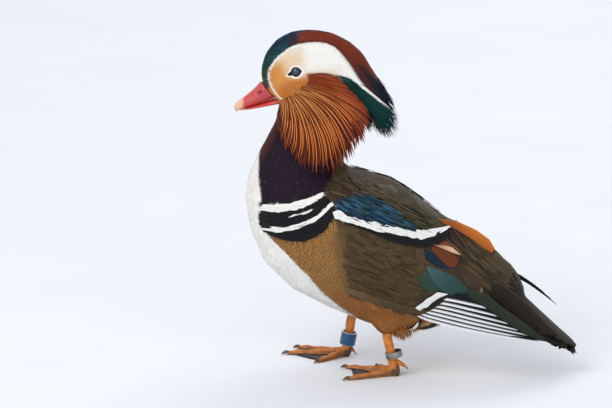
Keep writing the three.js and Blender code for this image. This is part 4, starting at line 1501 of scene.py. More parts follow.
NARROW = np.array([-1, -0.7, -0.35, 0, 0.35, 0.7, 1])
BROAD = np.array([-1, -0.9, -0.78, -0.5, -0.2, 0.2, 0.5, 0.78, 0.9, 1])


@dataclass
class QuillLayer:
    """Lays quills on the bird and joins them in one mesh. No feather is narrower at its root than least."""

    shop: Workshop
    least: float = 0.3

    def centre(self, quill: Quill, side: int, shares: np.ndarray) -> tuple[np.ndarray, np.ndarray]:
        """Find a quill's centre line and the outward directions along it.

        Args:
            quill: The quill.
            side: 1 for the bird's left side, -1 for its right.
            shares: Places along the quill.

        Returns:
            Points and outward directions.
        """
        surface = self.shop.surface
        corners = np.array(quill.path, float)
        if quill.bend and len(corners) == 2:
            chord = corners[1] - corners[0]
            lean = np.zeros_like(chord)
            lean[-2:] = (-chord[-1] * quill.bend, chord[-2] * quill.bend)
            line = bowed(corners[0], corners.mean(axis=0) + lean, corners[1], shares)
        elif len(corners) == 3:
            line = bowed(corners[0], corners[1] * 2 - (corners[0] + corners[2]) / 2, corners[2], shares)
        else:
            line = sampled(quill.path, shares)
        if line.shape[1] == 3:
            places = line * [side, 1, 1]
            if quill.hug:
                return surface.nearest(places)
            facing = unit(np.array(quill.facing or (1, 0, 0.2), float) * [side, 1, 1])
            return places, np.tile(facing, (len(places), 1))
        outs, normals = [], []
        last, way = 8.0, np.array([side, 0.0, 0.0])
        step = np.linalg.norm(line[-1] - line[0]) / len(line)
        for place in line:
            hit = surface.from_side(place, side)
            out = last - 0.25 * step if hit is None else abs(hit[0][0])
            if outs:
                out = max(out, last - 0.55 * step)
            if hit is not None:
                way = way * 0.3 + hit[1] * 0.7
            outs.append(out)
            normals.append(way)
            last = out
        return np.column_stack([np.array(outs) * side, line]), unit(np.array(normals))

    def lay(self, quills: Sequence[Quill], side: int) -> Strands:
        """Lay quills on one side.

        Args:
            quills: The quills, lowest layer first.
            side: 1 for the bird's left side, -1 for its right.

        Returns:
            The vanes.
        """
        strands = Strands()
        chosen = [q for q in quills if side in q.sides]
        cells = math.ceil(math.sqrt(max(len(chosen), 1)))
        for index, quill in enumerate(chosen):
            shares = np.linspace(0, 1, quill.rows + 1)
            columns = NARROW if quill.edges is None else BROAD
            spots, lifted = (self.stroke if quill.edges is None else self.plate)(quill, side, shares)
            height = quill.rise[0] + (quill.rise[1] - quill.rise[0]) * shares
            crown = quill.camber * (1 - columns**2) + 0.05
            body = spots[:-1] + lifted[:-1] * (height[:-1, None] + crown)[..., None]
            middle = len(columns) // 2
            tip = spots[-1].mean(axis=0) + lifted[-1, middle] * (height[-1] + 0.1)
            colours, masks = self.dress(quill, side, shares, body, lifted[:-1], columns)
            cell = np.array([[(index % cells + 0.5) / cells, (index // cells + 0.5) / cells]])
            strands.add(body[None], tip[None], colours[None], masks[None], shares, (columns + 1) / 2, cell,
                        np.full((1, 1), 0.86 / cells))
        return strands

    def make(self, quills: Sequence[Quill], side: int, name: str, material: bpy.types.Material, slot: str,
             nodes: Sequence[str] = ()) -> None:
        """Lay quills on one side, and dress, fix and report the piece that they make."""
        self.shop.place(self.lay(quills, side).build(name), material, slot, nodes)

    def stroke(self, quill: Quill, side: int, shares: np.ndarray) -> tuple[np.ndarray, np.ndarray]:
        """Spread a feather to both sides of its path.

        Args:
            quill: The quill.
            side: 1 for the bird's left side, -1 for its right.
            shares: Places along it.

        Returns:
            Points and outward directions, section by column.
        """
        centres, outs = self.centre(quill, side, shares)
        across = unit(np.cross(outs, unit(np.gradient(centres, axis=0))))
        swell = np.sqrt(np.clip(1 - (1 - np.clip(shares / quill.swell, 0.08, 1)) ** 2, 0, 1))
        ending = np.clip((shares - quill.taper) / (1 - quill.taper), 0, 1)
        half = quill.width / 2 * swell * np.clip(1 - ending**quill.power, 0, 1) ** (1 / quill.power)
        spots = centres[:, None] + across[:, None] * (half[:, None] * NARROW)[..., None]
        lifted = np.repeat(outs[:, None], len(NARROW), axis=1)
        return self.shop.surface.drape(spots, lifted) if quill.hug else (spots, lifted)

    def plate(self, quill: Quill, side: int, shares: np.ndarray) -> tuple[np.ndarray, np.ndarray]:
        """Fill a feather between its upper and lower outline.

        Args:
            quill: The quill.
            side: 1 for the bird's left side, -1 for its right.
            shares: Places along it.

        Returns:
            Points and outward directions, section by column.
        """
        upper, lower = (sampled(line, shares)[:, None] for line in quill.edges)
        upper[..., -1] += self.least / 2
        lower[..., -1] -= self.least / 2
        spots = lower + (upper - lower) * ((BROAD * side + 1) / 2)[None, :, None]
        if spots.shape[-1] == 3:
            facing = unit(np.array(quill.facing or (1, 0, 0.2), float) * [side, 1, 1])
            return spots * [side, 1, 1], np.broadcast_to(facing, spots.shape)
        step = np.linalg.norm(spots[-1].mean(axis=0) - spots[0].mean(axis=0)) / quill.rows
        places = np.zeros((*spots.shape[:2], 3))
        outs = np.zeros_like(places)
        for row in range(len(shares)):
            for column in range(len(BROAD)):
                hit = self.shop.surface.from_side(spots[row, column], side)
                before = (row - 1, column) if row else (row, column - 1)
                if hit is None:
                    out = places[before][0] * side - 0.3 * step if row or column else 20.0
                    way = outs[before] if row or column else np.array([side, 0.0, 0.0])
                else:
                    out, way = hit[0][0] * side, hit[1]
                if row:
                    out = max(out, places[before][0] * side - 0.8 * step)
                places[row, column] = (out * side, *spots[row, column])
                outs[row, column] = way
        return places, unit(outs)

    def dress(self, quill: Quill, side: int, shares: np.ndarray, body: np.ndarray, outs: np.ndarray,
              places: np.ndarray) -> tuple[np.ndarray, np.ndarray]:
        """Colour one quill.

        Args:
            quill: The quill.
            side: 1 for the bird's left side, -1 for its right.
            shares: Places of its sections, with the tip's.
            body: Its points, section by column.
            outs: Outward directions, laid out the same way.
            places: Places of the columns, -1 to 1.

        Returns:
            Colours and masks, section by column, with one more section for the tip.
        """
        count, columns = len(shares), len(places)
        if quill.colour is None:
            painted, masks = self.shop.plumage.paint(body.reshape(-1, 3), outs.reshape(-1, 3))
            colours = painted.reshape(count - 1, columns, 3)
            masks = masks.reshape(count - 1, columns, 2)
            colours, masks = np.concatenate([colours, colours[-1:]]), np.concatenate([masks, masks[-1:]])
        else:
            colours = np.tile(linear(quill.colour), (count, columns, 1))
            masks = np.tile(np.array([quill.gloss, 0.0]), (count, columns, 1))
        up = (places * side)[None, :]
        along = shares[:, None]

        def blend(share: np.ndarray, tone: Rgb | None) -> None:
            """Mix a tone in, where the quill has one."""
            if tone is not None:
                colours[:] = tinted(colours, tone, np.clip(np.broadcast_to(share, (count, columns)), 0, 1))

        blend(1 - along / 0.55, quill.root)
        blend(np.exp(-((places[None] / 0.3) ** 2)) + 0 * along, quill.shaft)
        blend((up - (1 - quill.edge) + 0.06) / 0.12 + 0 * along, quill.upper)
        blend((-up - (1 - quill.edge) + 0.06) / 0.12 + 0 * along, quill.lower)
        blend((along - 0.88) / 0.08 + 0 * up, quill.tip)
        return colours, masks


# The ruff's long feathers start on this line on the cheek and end on the next one, y and z
RUFF_ROOTS = (
    (-109.5, 241.5), (-104, 243), (-98.5, 246.5), (-93.5, 250), (-89, 254), (-85, 258), (-81.5, 262),
    (-80, 266.8),
)
RUFF_TIPS = (
    (-112.5, 227), (-111, 219), (-107, 210), (-102, 203), (-95, 196.5), (-86, 190), (-77, 186.5), (-68, 184.5),
    (-61, 184.5), (-54, 190.5), (-47.4, 197.5), (-42.5, 202.5), (-37.5, 210), (-31.5, 219), (-30, 227),
    (-34, 235), (-38, 241), (-43, 247), (-48, 253), (-53, 259.5), (-59, 266),
)


@dataclass(frozen=True)
class FanRow:
    """One row of the ruff's narrow feathers, with start and end as shares of the fan."""

    count: int
    start: float
    end: float
    width: float
    rise: float
    shaft: Rgb = (236, 164, 88)
    root: Rgb | None = None


@dataclass
class Ruff:
    """The fan of long golden feathers on each cheek: broad dark ones under rows of narrow golden ones."""

    shop: Workshop
    under: int = 76
    steps: int = 10
    rows: tuple[FanRow, ...] = (
        FanRow(40, 0.42, 1.03, 1.9, 2.5, shaft=(212, 122, 44)),
        FanRow(30, 0.12, 0.9, 1.6, 2.8),
        FanRow(27, -0.02, 0.5, 0.85, 3.1, root=(230, 178, 116)),
    )

    def run(self, share: float, start: float, end: float) -> np.ndarray:
        """Follow one line of the fan.

        Args:
            share: Which line, from 0 at the throat to 1 at the top.
            start: Where to start along it, 0 at the cheek.
            end: Where to end along it, 1 at the rim.

        Returns:
            Side-view points.
        """
        first, last = sampled(RUFF_ROOTS, np.array([share]))[0], sampled(RUFF_TIPS, np.array([share]))[0]
        way = last - first
        lean = np.array([-way[1], way[0]]) * (0.05 + 0.24 * math.sin(math.pi * min(share * 1.05, 1)) ** 1.2)
        return bowed(first, (first + last) / 2 + lean, last, np.linspace(start, end, self.steps))

    def quills(self) -> list[Quill]:
        """Draw every feather of the ruff.

        Returns:
            The quills, the broad dark ones first.
        """
        chooser = np.random.default_rng(SEED + 1)
        made = []
        for index in range(self.under):
            share = (index + chooser.uniform(0.2, 0.8)) / self.under
            late = np.clip((share - 0.52) / 0.22, 0, 1)
            turns = self.run(share, chooser.uniform(-0.04, 0.06), chooser.uniform(0.98, 1.09))
            made.append(Quill(
                tuple(map(tuple, turns)), 4.6, (0.2, 1.7), colour=mixed((78, 27, 16), (128, 54, 28), late),
                root=mixed((140, 70, 28), (120, 50, 26), late), upper=mixed((52, 16, 12), (92, 34, 20), late),
                tip=mixed((126, 54, 26), (134, 58, 30), late),
                edge=0.4, swell=0.4, taper=0.4, power=1.5, camber=0.4, rows=10, hug=False,
            ))
        for row in self.rows:
            for index in range(row.count):
                share = np.clip((index + 0.5 + chooser.normal(0, 0.2)) / row.count, 0, 1)
                late = np.clip((share - 0.58) / 0.25, 0, 1)
                low = np.clip(share / 0.15, 0.3, 1)
                turns = self.run(share, row.start + chooser.normal(0, 0.035), row.end + chooser.normal(0, 0.04))
                turns += np.linspace(0, 1, self.steps)[:, None] ** 2 * chooser.normal(0, 0.9, 2)
                made.append(Quill(
                    tuple(map(tuple, turns)), row.width * chooser.uniform(0.85, 1.15),
                    (0.4 * row.rise * low, row.rise * low), colour=mixed((150, 64, 24), (134, 56, 28), late),
                    shaft=mixed(row.shaft, (162, 76, 34), late),
                    root=row.root and mixed(row.root, (146, 64, 30), late),
                    upper=mixed((70, 22, 14), (96, 36, 20), late),
                    lower=mixed((70, 22, 14), (104, 40, 22), late),
                    tip=mixed((148, 68, 28), (128, 54, 28), late), edge=0.3, swell=0.3, taper=0.35, power=1.4,
                    camber=0.45, rows=10, hug=False,
                ))
        return made

    def build(self) -> None:
        """Make both sides."""
        material = FeatherFinish("ruff plumage", 0.52, 0.08, 30, bump=0.2).make(self.shop.effects)
        layer = QuillLayer(self.shop)
        for which, side in PAIR:
            layer.make(self.quills(), side, f"ruff_plumes_{which}", material, "copper_feathers")


# The lines between the breast's bands, from the highest to the lowest, and each band's feathers and tone
BAND_LINES = (
    ((-124, 151.6), (-114.8, 155.2), (-97.2, 157.2), (-82.4, 161.4), (-67, 167.6)),
    ((-124, 146.6), (-114.8, 148.6), (-97, 151), (-82.2, 156), (-70, 162.4), (-66.4, 165.8)),
    ((-123, 132), (-108, 135), (-90.4, 140.8), (-75.6, 147.2), (-65.5, 154.4), (-58.6, 161)),
    ((-122, 129), (-110, 130), (-99.2, 132.8), (-86.1, 137.6), (-73.4, 144.2), (-63.4, 152), (-57.6, 158)),
    ((-117, 128.4), (-106, 125.6), (-92.8, 125.4), (-77.6, 127.4), (-67, 134.4), (-59, 145), (-56.4, 153)),
)
BANDS = ((80, WHITE), (150, BLACK), (54, WHITE), (120, BLACK))
STRAY_WHITE = (214, 214, 212)


@dataclass
class Plumes:
    """Loose ends of crest and nape, the white filaments, and the wisps at the vent."""

    shop: Workshop
    wisps: int = 260

    def quills(self) -> list[Quill]:
        """Draw the loose plumes.

        Returns:
            The quills.
        """
        chooser = np.random.default_rng(SEED + 2)
        made = []
        crest_roots = ((-44, 278), (-38, 270), (-35, 262), (-31, 255))
        crest_tips = ((-23, 252), (-17, 245), (-13, 238), (-11.5, 234))
        nape_roots = ((-40, 254), (-35, 246), (-35, 238), (-37, 232))
        nape_tips = ((-12, 231), (-9.5, 221), (-12, 215), (-16, 210.5), (-22, 212), (-29, 218), (-32, 224))
        groups = (
            (70, crest_roots, crest_tips, (22, 26, 38), (84, 36, 28), 0.25, 1.0),
            (120, nape_roots, nape_tips, (10, 52, 48), None, 0.3, 1.0),
            (3, ((-40, 259.6), (-39, 258.6)), ((-15.6, 236.6), (-14, 234.6)), (234, 232, 228), None, 0.0, 0.15),
        )
        for count, starts, ends, colour, root, gloss, loose in groups:
            shares = (np.arange(count) + chooser.uniform(0, 1, count)) / count
            for start, end in zip(sampled(starts, shares), sampled(ends, shares)):
                start = start + chooser.normal(0, 2.0 * loose, 2)
                end = start + (end - start) * chooser.uniform(0.8, 1.16) + chooser.normal(0, 1.1 * loose, 2)
                made.append(Quill(
                    (tuple(start), tuple(end)), chooser.uniform(0.9, 1.6) * loose**0.3, (0.0, 1.0),
                    colour=colour, gloss=gloss, root=root, taper=0.5, power=1.3, camber=0.3, rows=8, hug=False,
                    bend=chooser.uniform(0.0, 0.08),
                ))
        for _ in range(self.wisps):
            y = chooser.uniform(-18, 16)
            tip = np.interp(y, (-24, -12, 1, 10, 20), (42, 37, 31, 36.5, 44)) + chooser.normal(0, 0.8)
            root = (28 + chooser.normal(0, 2.5), y - chooser.uniform(2, 7), tip + 16 + chooser.normal(0, 3))
            end = (26 + chooser.normal(0, 2.5), y + chooser.normal(0, 1.2), tip)
            made.append(Quill(
                (root, end), chooser.uniform(0.6, 1.0), (0, 0.3), colour=(156, 106, 58), taper=0.2, power=1.2,
                camber=0.3, rows=6, hug=False, root=(148, 92, 42), bend=chooser.uniform(-0.1, 0.1),
            ))
        return made

    def bands(self) -> list[Quill]:
        """Draw the streaked feathers of the breast's black and white bands, which run along the bands.

        Returns:
            The quills.
        """
        chooser = np.random.default_rng(SEED + 4)
        made = []
        for index, (count, colour) in enumerate(BANDS):
            for _ in range(count):
                start = chooser.uniform(-0.02, 0.9)
                end = min(start + chooser.uniform(0.12, 0.24), 1.03)
                depth = chooser.uniform(0, 1)
                ends = np.array([start, end])
                above, below = (sampled(BAND_LINES[index + i], ends) for i in (0, 1))
                first, last = above * (1 - depth) + below * depth
                stray = index == 1 and abs(depth - 0.45) < 0.06 and 0.2 < start < 0.6
                made.append(Quill(
                    (tuple(first), tuple(last + chooser.normal(0, 0.3, 2))), chooser.uniform(1.6, 2.6),
                    (0.5, 1.1), colour=STRAY_WHITE if stray else colour, taper=0.4, power=1.4, camber=0.15, rows=7,
                ))
        return made

    def build(self) -> None:
        """Make both sides."""
        material = FeatherFinish("loose plumes", 0.55, 0.12, 20).make(self.shop.effects)
        layer = QuillLayer(self.shop)
        for which, side in PAIR:
            layer.make(self.quills(), side, f"loose_plumes_{which}", material, "green_feathers")
            layer.make(self.bands(), side, f"breast_bands_{which}", material, "maroon_feathers")


INK = (20, 21, 25)


WHITE_BARS = (222, 221, 218)
WING_BROWN = (72, 57, 38)
WING_DUSK = (44, 36, 28)
WING_PALE = (104, 88, 64)


@dataclass(frozen=True)
class Streaks:
    """A part of the wing or back that narrow feathers streak, with their tones, slope and sizes."""

    count: int
    area: Sequence[Point2]
    tones: Sequence[Rgb]
    slope: float
    length: float
    width: float
    rise: Point2 = (1.3, 1.9)
    gloss: float = 0.0


STREAKS = (
    Streaks(90, ((-52, 156), (-44, 163), (-35, 166), (-23, 162), (-10, 154), (0, 146), (10, 139), (8, 136),
        (-2, 137), (-16, 142), (-33, 146), (-48, 151)), ((22, 44, 64), (42, 82, 104), (24, 32, 40),
        (44, 70, 66), (30, 58, 80)), -0.5, 12, 1.9, gloss=0.1),
    Streaks(60, ((-26, 169), (-8, 163), (12, 149), (28, 139), (16, 134), (2, 146), (-16, 159)), ((62, 56, 34),
        (42, 42, 28), (76, 62, 40)), -0.6, 14, 2.2),
    Streaks(110, ((-40, 134), (-42, 98), (-30, 80), (10, 74), (20, 80), (18, 100), (14, 112), (0, 118),
        (-20, 128)), ((75, 60, 38), (66, 52, 34), (72, 57, 37), (67, 53, 37)), -0.42, 15, 3.2),
    Streaks(110, ((-58, 165), (-50, 173), (-30, 169.4), (-12, 162), (6, 152), (20, 143), (14, 146), (-2, 155),
        (-24, 163), (-44, 164)), ((80, 64, 40), (56, 45, 29), (68, 54, 35)), -0.4, 12, 2.4, gloss=0.1),
    Streaks(60, ((44, 126), (60, 116), (80, 100), (92, 84), (82, 80), (62, 96), (46, 112)), ((84, 68, 47),
        (50, 40, 29), (66, 53, 36)), -0.85, 16, 1.7, rise=(2.6, 3.0)),
)


def plate(above: Sequence[Point2], below: Sequence[Point2], low: float, high: float, colour: Rgb,
          rows: int = 14, **more: object) -> Quill:
    """Draw a broad feather between its upper and lower outline, low and high over the skin at root and tip."""
    return Quill((), 0, (low, high), colour=colour, edges=(above, below), rows=rows, **more)


# The wing's marked feathers, the tertials and the speculum, the lowest layer first
PLATES = (
    plate(((52, 108), (62, 100), (72, 88), (80, 74), (86, 66)), ((44, 96), (54, 84), (62, 74), (74, 66),
        (86, 66)), 0.8, 1.4, (48, 48, 36), gloss=0.1, upper=(66, 62, 46), edge=0.12),
    plate(((-6, 90), (8, 95), (17, 99), (26, 101), (32, 92), (36, 82)), ((-6, 86), (6, 82), (16, 78), (24, 78),
        (31, 79), (36, 82)), 0.5, 0.7, (70, 60, 42), lower=(58, 50, 36), edge=0.2),
    plate(((9, 93.5), (17, 98), (24, 101), (31, 93), (35, 83)), ((9, 93.5), (15, 88), (25, 83.3), (35, 83)),
        0.8, 1.1, (40, 66, 56), root=(62, 58, 40), gloss=0.1, lower=(44, 52, 42), edge=0.14),
    plate(((23, 105), (37, 102), (49, 94), (58, 85), (65, 76.5)), ((23, 105), (27, 95), (34, 84), (45, 77.3),
        (57, 74.7), (65, 76.5)), 1.0, 1.4, (44, 68, 68), root=(62, 90, 90), gloss=0.15, upper=(58, 58, 46),
        lower=(28, 42, 42), tip=(38, 44, 36), edge=0.13, rows=18),
    plate(((-46, 85), (-30, 81), (-12, 75), (8, 68), (24, 66)), ((-46, 79), (-30, 72.6), (-14, 67), (6, 61),
        (24, 61)), 0.6, 1.2, (76, 62, 44), root=(104, 84, 56), lower=(44, 36, 28), edge=0.1, rows=18),
    plate(((8, 63), (15, 69), (27, 79), (36, 84), (44, 79)), ((8, 60), (16, 60), (27, 66), (36, 73), (44, 79)),
        0.8, 1.2, (30, 32, 30), gloss=0.1),
    plate(((14, 67.5), (21, 73), (24, 76.2), (27.2, 77.7), (33.3, 82), (42, 80)), ((14, 67.5), (16, 65),
        (18.6, 64.6), (20, 67), (24, 67.8), (28.1, 72.3), (34.3, 76.8), (42, 80)), 1.3, 1.7, WHITE_BARS,
        rows=18),
    plate(((44, 112), (52, 104), (60, 98), (68.7, 91), (71, 80)), ((44, 106), (50, 97), (56, 89), (66, 77),
        (71, 80)), 1.2, 1.8, (68, 53, 44), root=WING_DUSK, tip=(150, 140, 128), upper=(88, 72, 56), edge=0.1),
    plate(((38, 120), (52, 113), (64, 107), (78, 96), (90, 84), (97, 74)), ((38, 112), (48, 104), (58, 94),
        (70, 84), (82, 75), (97, 74)), 1.4, 2.4, WING_BROWN, root=WING_DUSK, upper=WING_PALE, lower=WING_DUSK,
        edge=0.08, rows=18),
    plate(((40, 131), (54, 124), (67, 113), (80, 106), (91, 95), (100, 80)), ((40, 122), (52, 113), (62, 105),
        (76, 94), (88, 84), (100, 80)), 1.6, 2.8, (68, 54, 36), root=WING_DUSK, upper=WING_PALE,
        lower=(42, 34, 26), edge=0.08, rows=18),
    plate(((14, 122), (26, 118), (38, 110), (52, 100), (60, 97)), ((14, 112), (26, 104), (38, 99), (50, 95),
        (60, 97)), 0.9, 1.4, (58, 46, 36), root=(76, 60, 42), edge=0.1),
    plate(((20.7, 119), (26.4, 116), (34, 109), (44, 101.2)), ((20.7, 119), (22.5, 111), (32, 104.5),
        (44, 101.2)), 1.4, 1.8, (18, 38, 56), gloss=0.2, lower=(14, 20, 28), edge=0.25),
    plate(((24, 122), (32, 119.6), (42, 114.8), (49.8, 110), (50.5, 105)), ((24, 122), (28.3, 115.6),
        (34.7, 108.6), (41.5, 102.6), (47, 102), (50.5, 105)), 1.7, 2.1, (100, 50, 28), lower=(16, 28, 46),
        tip=(14, 18, 30), edge=0.13, rows=20),
    plate(((26, 124.6), (36, 123), (45, 119), (52, 113)), ((26, 124.6), (34, 119.6), (44, 116), (52, 113)),
        1.9, 2.3, (112, 60, 38), lower=(84, 46, 30), edge=0.12),
    plate(((27, 121.6), (38.7, 119), (46.7, 115.8), (53.6, 110)), ((27, 121.6), (35, 117.6), (45, 112.8),
        (53.6, 110)), 2.2, 2.6, (204, 172, 136), root=(140, 80, 54), lower=(112, 64, 42), edge=0.22),
    plate(((-44, 144), (-24, 138), (-8, 133.6), (8, 128.4), (18, 123.6)), ((-44, 144), (-26, 135.4),
        (-9.8, 128), (4.4, 123.4), (18, 123.6)), 1.6, 2.0, INK, gloss=0.08),
    plate(((-16, 137.4), (4, 131.3), (19.7, 127), (30.7, 129.8), (40.5, 132.3)), ((-16, 137.4), (0.3, 125),
        (16.3, 120.4), (29.9, 119.8), (38, 125.4), (40.5, 132.3)), 1.9, 2.4, INK, gloss=0.08, rows=20),
    plate(((-4.5, 137.3), (4, 135), (11.4, 132.6), (24.7, 132.2), (40, 132)), ((-4.5, 137.3), (0, 133),
        (6, 130.6), (9, 128.4), (13, 128.4), (17, 125.6), (22, 127), (29.3, 127.4), (40, 132)), 2.3, 2.8,
        WHITE_BARS, rows=22),
    plate(((-26.5, 143), (-22, 143.6), (-18, 141.4), (-4.4, 136.9), (7.4, 133.7), (17, 127.4)), ((-26.5, 143),
        (-22, 139), (-17, 137.6), (-14, 135.2), (-8, 133.4), (0, 130.6), (5, 129.8), (10, 127.4), (17, 127.4)),
        2.4, 2.9, WHITE_BARS, rows=22),
    plate(((-47, 146.4), (-42, 147.6), (-36.7, 145.6), (-32, 145), (-28.5, 143), (-20, 138.5), (-13, 134.2)),
        ((-47, 146.4), (-40.5, 142), (-36, 140.8), (-30.3, 138.6), (-26, 138), (-20, 135.4), (-13, 134.2)),
        2.4, 2.9, WHITE_BARS, rows=22),
    plate(((-58, 152), (-54, 153.6), (-51.2, 153), (-45, 148), (-38.5, 142.2)), ((-58, 152), (-56, 147),
        (-52, 146.4), (-48.7, 143.6), (-44, 143.4), (-38.5, 142.2)), 2.2, 2.8, WHITE_BARS, rows=18),
)


@dataclass
class Wing:
    """The special feathers of a folded wing, with its sail and primaries."""

    shop: Workshop
    facing: Point3 = (0.9, 0.3, 0.3)

    def coverts(self) -> list[Quill]:
        """Draw the wing's marked feathers, the tertials and the speculum, the lowest layer first."""
        return [*PLATES, *self.barbs()]

    def streaks(self) -> list[Quill]:
        """Draw the narrow feathers that streak mantle, scapulars, wing and tertials.

        Returns:
            The quills.
        """
        chooser = np.random.default_rng(SEED + 5)
        made = []
        for band in STREAKS:
            low, high = np.min(band.area, axis=0), np.max(band.area, axis=0)
            spots = chooser.uniform(low, high, (band.count * 4, 2))
            for place in spots[outline_distance(spots, band.area) > 0][:band.count]:
                reach = band.length * chooser.uniform(0.7, 1.2)
                half = np.array([1, band.slope + chooser.normal(0, 0.08)]) * reach / 2
                if any(self.shop.surface.from_side(end, 1) is None for end in (place - half, place + half)):
                    continue
                made.append(Quill(
                    (tuple(place - half), tuple(place + half)), band.width * chooser.uniform(0.7, 1.3),
                    band.rise, colour=band.tones[int(chooser.integers(len(band.tones)))], taper=0.5,
                    power=1.3, camber=0.15, rows=6, gloss=band.gloss,
                ))
        return made

    @staticmethod
    def lowered(quill: Quill, start: float = 8.0, slope: float = 0.16) -> Quill:
        """Lower a feather towards its tip, as on the right side, whose tips stay under the back's outline."""
        edges = tuple(tuple((y, z - max(y - start, 0) * slope) for y, z in line) for line in quill.edges)
        return replace(quill, edges=edges)

    def barbs(self) -> list[Quill]:
        """Draw the loose barbs that fray the white and black edges of the scapulars.

        Returns:
            The quills.
        """
        chooser = np.random.default_rng(SEED + 3)
        made = []
        upper = ((-57, 152), (-50, 150), (-38, 145.5), (-26, 142.5), (-10, 138.6), (6, 134), (24, 131),
                 (38, 131.6))
        lower = ((-52, 145), (-40, 141.4), (-26, 137), (-10, 131), (6, 127), (22, 123), (34, 124))
        for line, tones, lean in ((upper, ((224, 224, 221), (30, 48, 68)), 2.2), (lower, (INK, INK), -1.6)):
            for place in sampled(line, chooser.uniform(0, 0.86, 34)):
                length = chooser.uniform(5, 10)
                drop = chooser.normal(-0.36, 0.08) * length + lean * chooser.uniform(-0.6, 0.7)
                made.append(Quill(
                    (tuple(place - (length / 2, drop / 2)), tuple(place + (length / 2, drop / 2))),
                    chooser.uniform(0.9, 1.6), (2.4, 3.0), colour=tones[int(chooser.random() > 0.6)], taper=0.3,
                    power=1.3, camber=0.15, rows=6,
                ))
        return made

    def sail(self, side: int) -> list[Quill]:
        """Draw the broad feather that stands up over the back. The right one is folded lower.

        Args:
            side: 1 for the left wing, -1 for the right one.

        Returns:
            The feather and its dark edge.
        """
        upper = ((9.4, 24, 139), (9.4, 46, 137), (9.2, 63, 129.8), (8.6, 74.6, 121.4), (7.4, 79.6, 112))
        lower = ((9.8, 24, 132), (10, 40, 130), (9.8, 54.6, 117.4), (9, 67, 109), (8.2, 75, 107.6),
                 (7.4, 79.6, 112))
        if side < 0:
            upper, lower = (tuple((x - 4.5, y - 1, z - 7) for x, y, z in line) for line in (upper, lower))
        return [
            Quill((), 0, (0, 0), colour=(186, 104, 40), root=(96, 62, 36), upper=(208, 132, 62),
                  lower=(104, 60, 32), shaft=(170, 90, 36), edge=0.1, rows=24, edges=(upper, lower),
                  facing=(0.78, 0.2, 0.6), camber=0.5),
            Quill((), 0, (-0.9, -0.9), colour=INK, rows=16, facing=(0.78, 0.2, 0.6), camber=0.1, edges=(
                upper[1:], tuple((x, y + 0.6, z - 1.3) for x, y, z in lower[1:-1]) + ((7.2, 80.6, 111),))),
        ]

    def primaries(self) -> list[Quill]:
        """Draw the long flight feathers with their silvery outer edges.

        Returns:
            The quills of both sides.
        """
        quills = []
        rows = (
            ((13, 61), (57, 50.8), (122, 36.6)), ((14, 64), (58, 54), (130.5, 35.4)),
            ((15, 67), (60, 57.4), (127, 39.2)), ((16, 70), (60, 61.2), (119, 43.6)),
            ((17, 73.4), (60, 65.4), (109, 50)), ((19, 76.6), (60, 69.8), (98, 57.4)),
            ((21, 80), (60, 74.6), (90, 64.6)),
        )
        for index, row in enumerate(rows):
            path = []
            for y, z in row:
                out = np.interp(y, (12, 58, 86, 110, 126, 131), (38.6, 38.6, 35.6, 32.2, 28.6, 26.6))
                path.append((out + index * 0.42, y, z))
            quills.append(Quill(tuple(path), 8.2, (0, 0), colour=(18, 18, 20), lower=(232, 234, 236), edge=0.34,
                                swell=0.2, taper=0.5, power=1.4, rows=20, hug=False, facing=(0.97, 0.1, 0.2),
                                camber=0.3, sides=(1,)))
        for upper, lower, colour, gloss in (
            (((27, 66, 94), (24, 88, 86), (21, 104.5, 72.6), (18, 123, 53), (15, 137, 38)),
             ((30, 60, 78), (26, 84, 69), (23, 102.8, 52), (20, 121, 39), (15, 137, 38)), (36, 30, 24), 0.0),
            (((41.4, 60, 84), (41.2, 76, 80.6), (38.8, 90, 68.6), (35, 111, 52.6), (29.6, 129, 36)),
             ((42, 60, 78), (41.8, 74, 69.6), (38.8, 90, 57), (35.2, 108.6, 44), (29.6, 129, 36)),
             (38, 45, 33), 0.12),
        ):
            quills.append(Quill((), 0, (0, 0), colour=colour, gloss=gloss, upper=(62, 56, 44),
                                lower=(20, 20, 20), edge=0.12, rows=22, edges=(upper, lower),
                                facing=self.facing, camber=0.9, sides=(1,)))
        far_edge = ((40, 30, 78), (31, 60, 87), (25, 90, 84), (24, 100.5, 79.4), (22, 113, 71),
                    (20, 124, 63), (18, 132.6, 55.8))
        for shift, deep, end in ((2.6, 3.4, 0.86), (1.2, 3.0, 0.94), (0.0, 2.6, 1.0)):
            upper = sampled(far_edge, np.linspace(0, end, 8)) + (shift, 0, 0)
            lower = upper - np.outer((7, 6, 5, deep, deep, 2.2, 1.4, 0.0), (0, 0.2, 1))
            quills.append(Quill((), 0, (0, 0), colour=(24, 22, 22), upper=(40, 36, 34), edge=0.1, rows=22,
                                edges=(tuple(map(tuple, upper)), tuple(map(tuple, lower))),
                                facing=self.facing, camber=0.3, sides=(-1,)))
        return quills

    def flank_ends(self) -> list[Quill]:
        """Draw the black and white feather ends behind the flank.

        Returns:
            The quills, the lowest layer first.
        """
        return [
            Quill(((2, 45), (12, 47), (19, 57)), 4.0, (1.2, 2.0), colour=INK, taper=0.5),
            Quill(((-4, 42), (7, 43), (16, 54)), 3.0, (1.6, 2.6), colour=(236, 232, 224), taper=0.5),
            Quill(((12, 44), (24, 46), (31, 54)), 5.0, (1.2, 2.4), colour=INK, taper=0.5),
            Quill(((14, 42.5), (26, 43.6), (33, 50)), 2.4, (1.8, 2.8), colour=(236, 232, 224), taper=0.5),
        ]

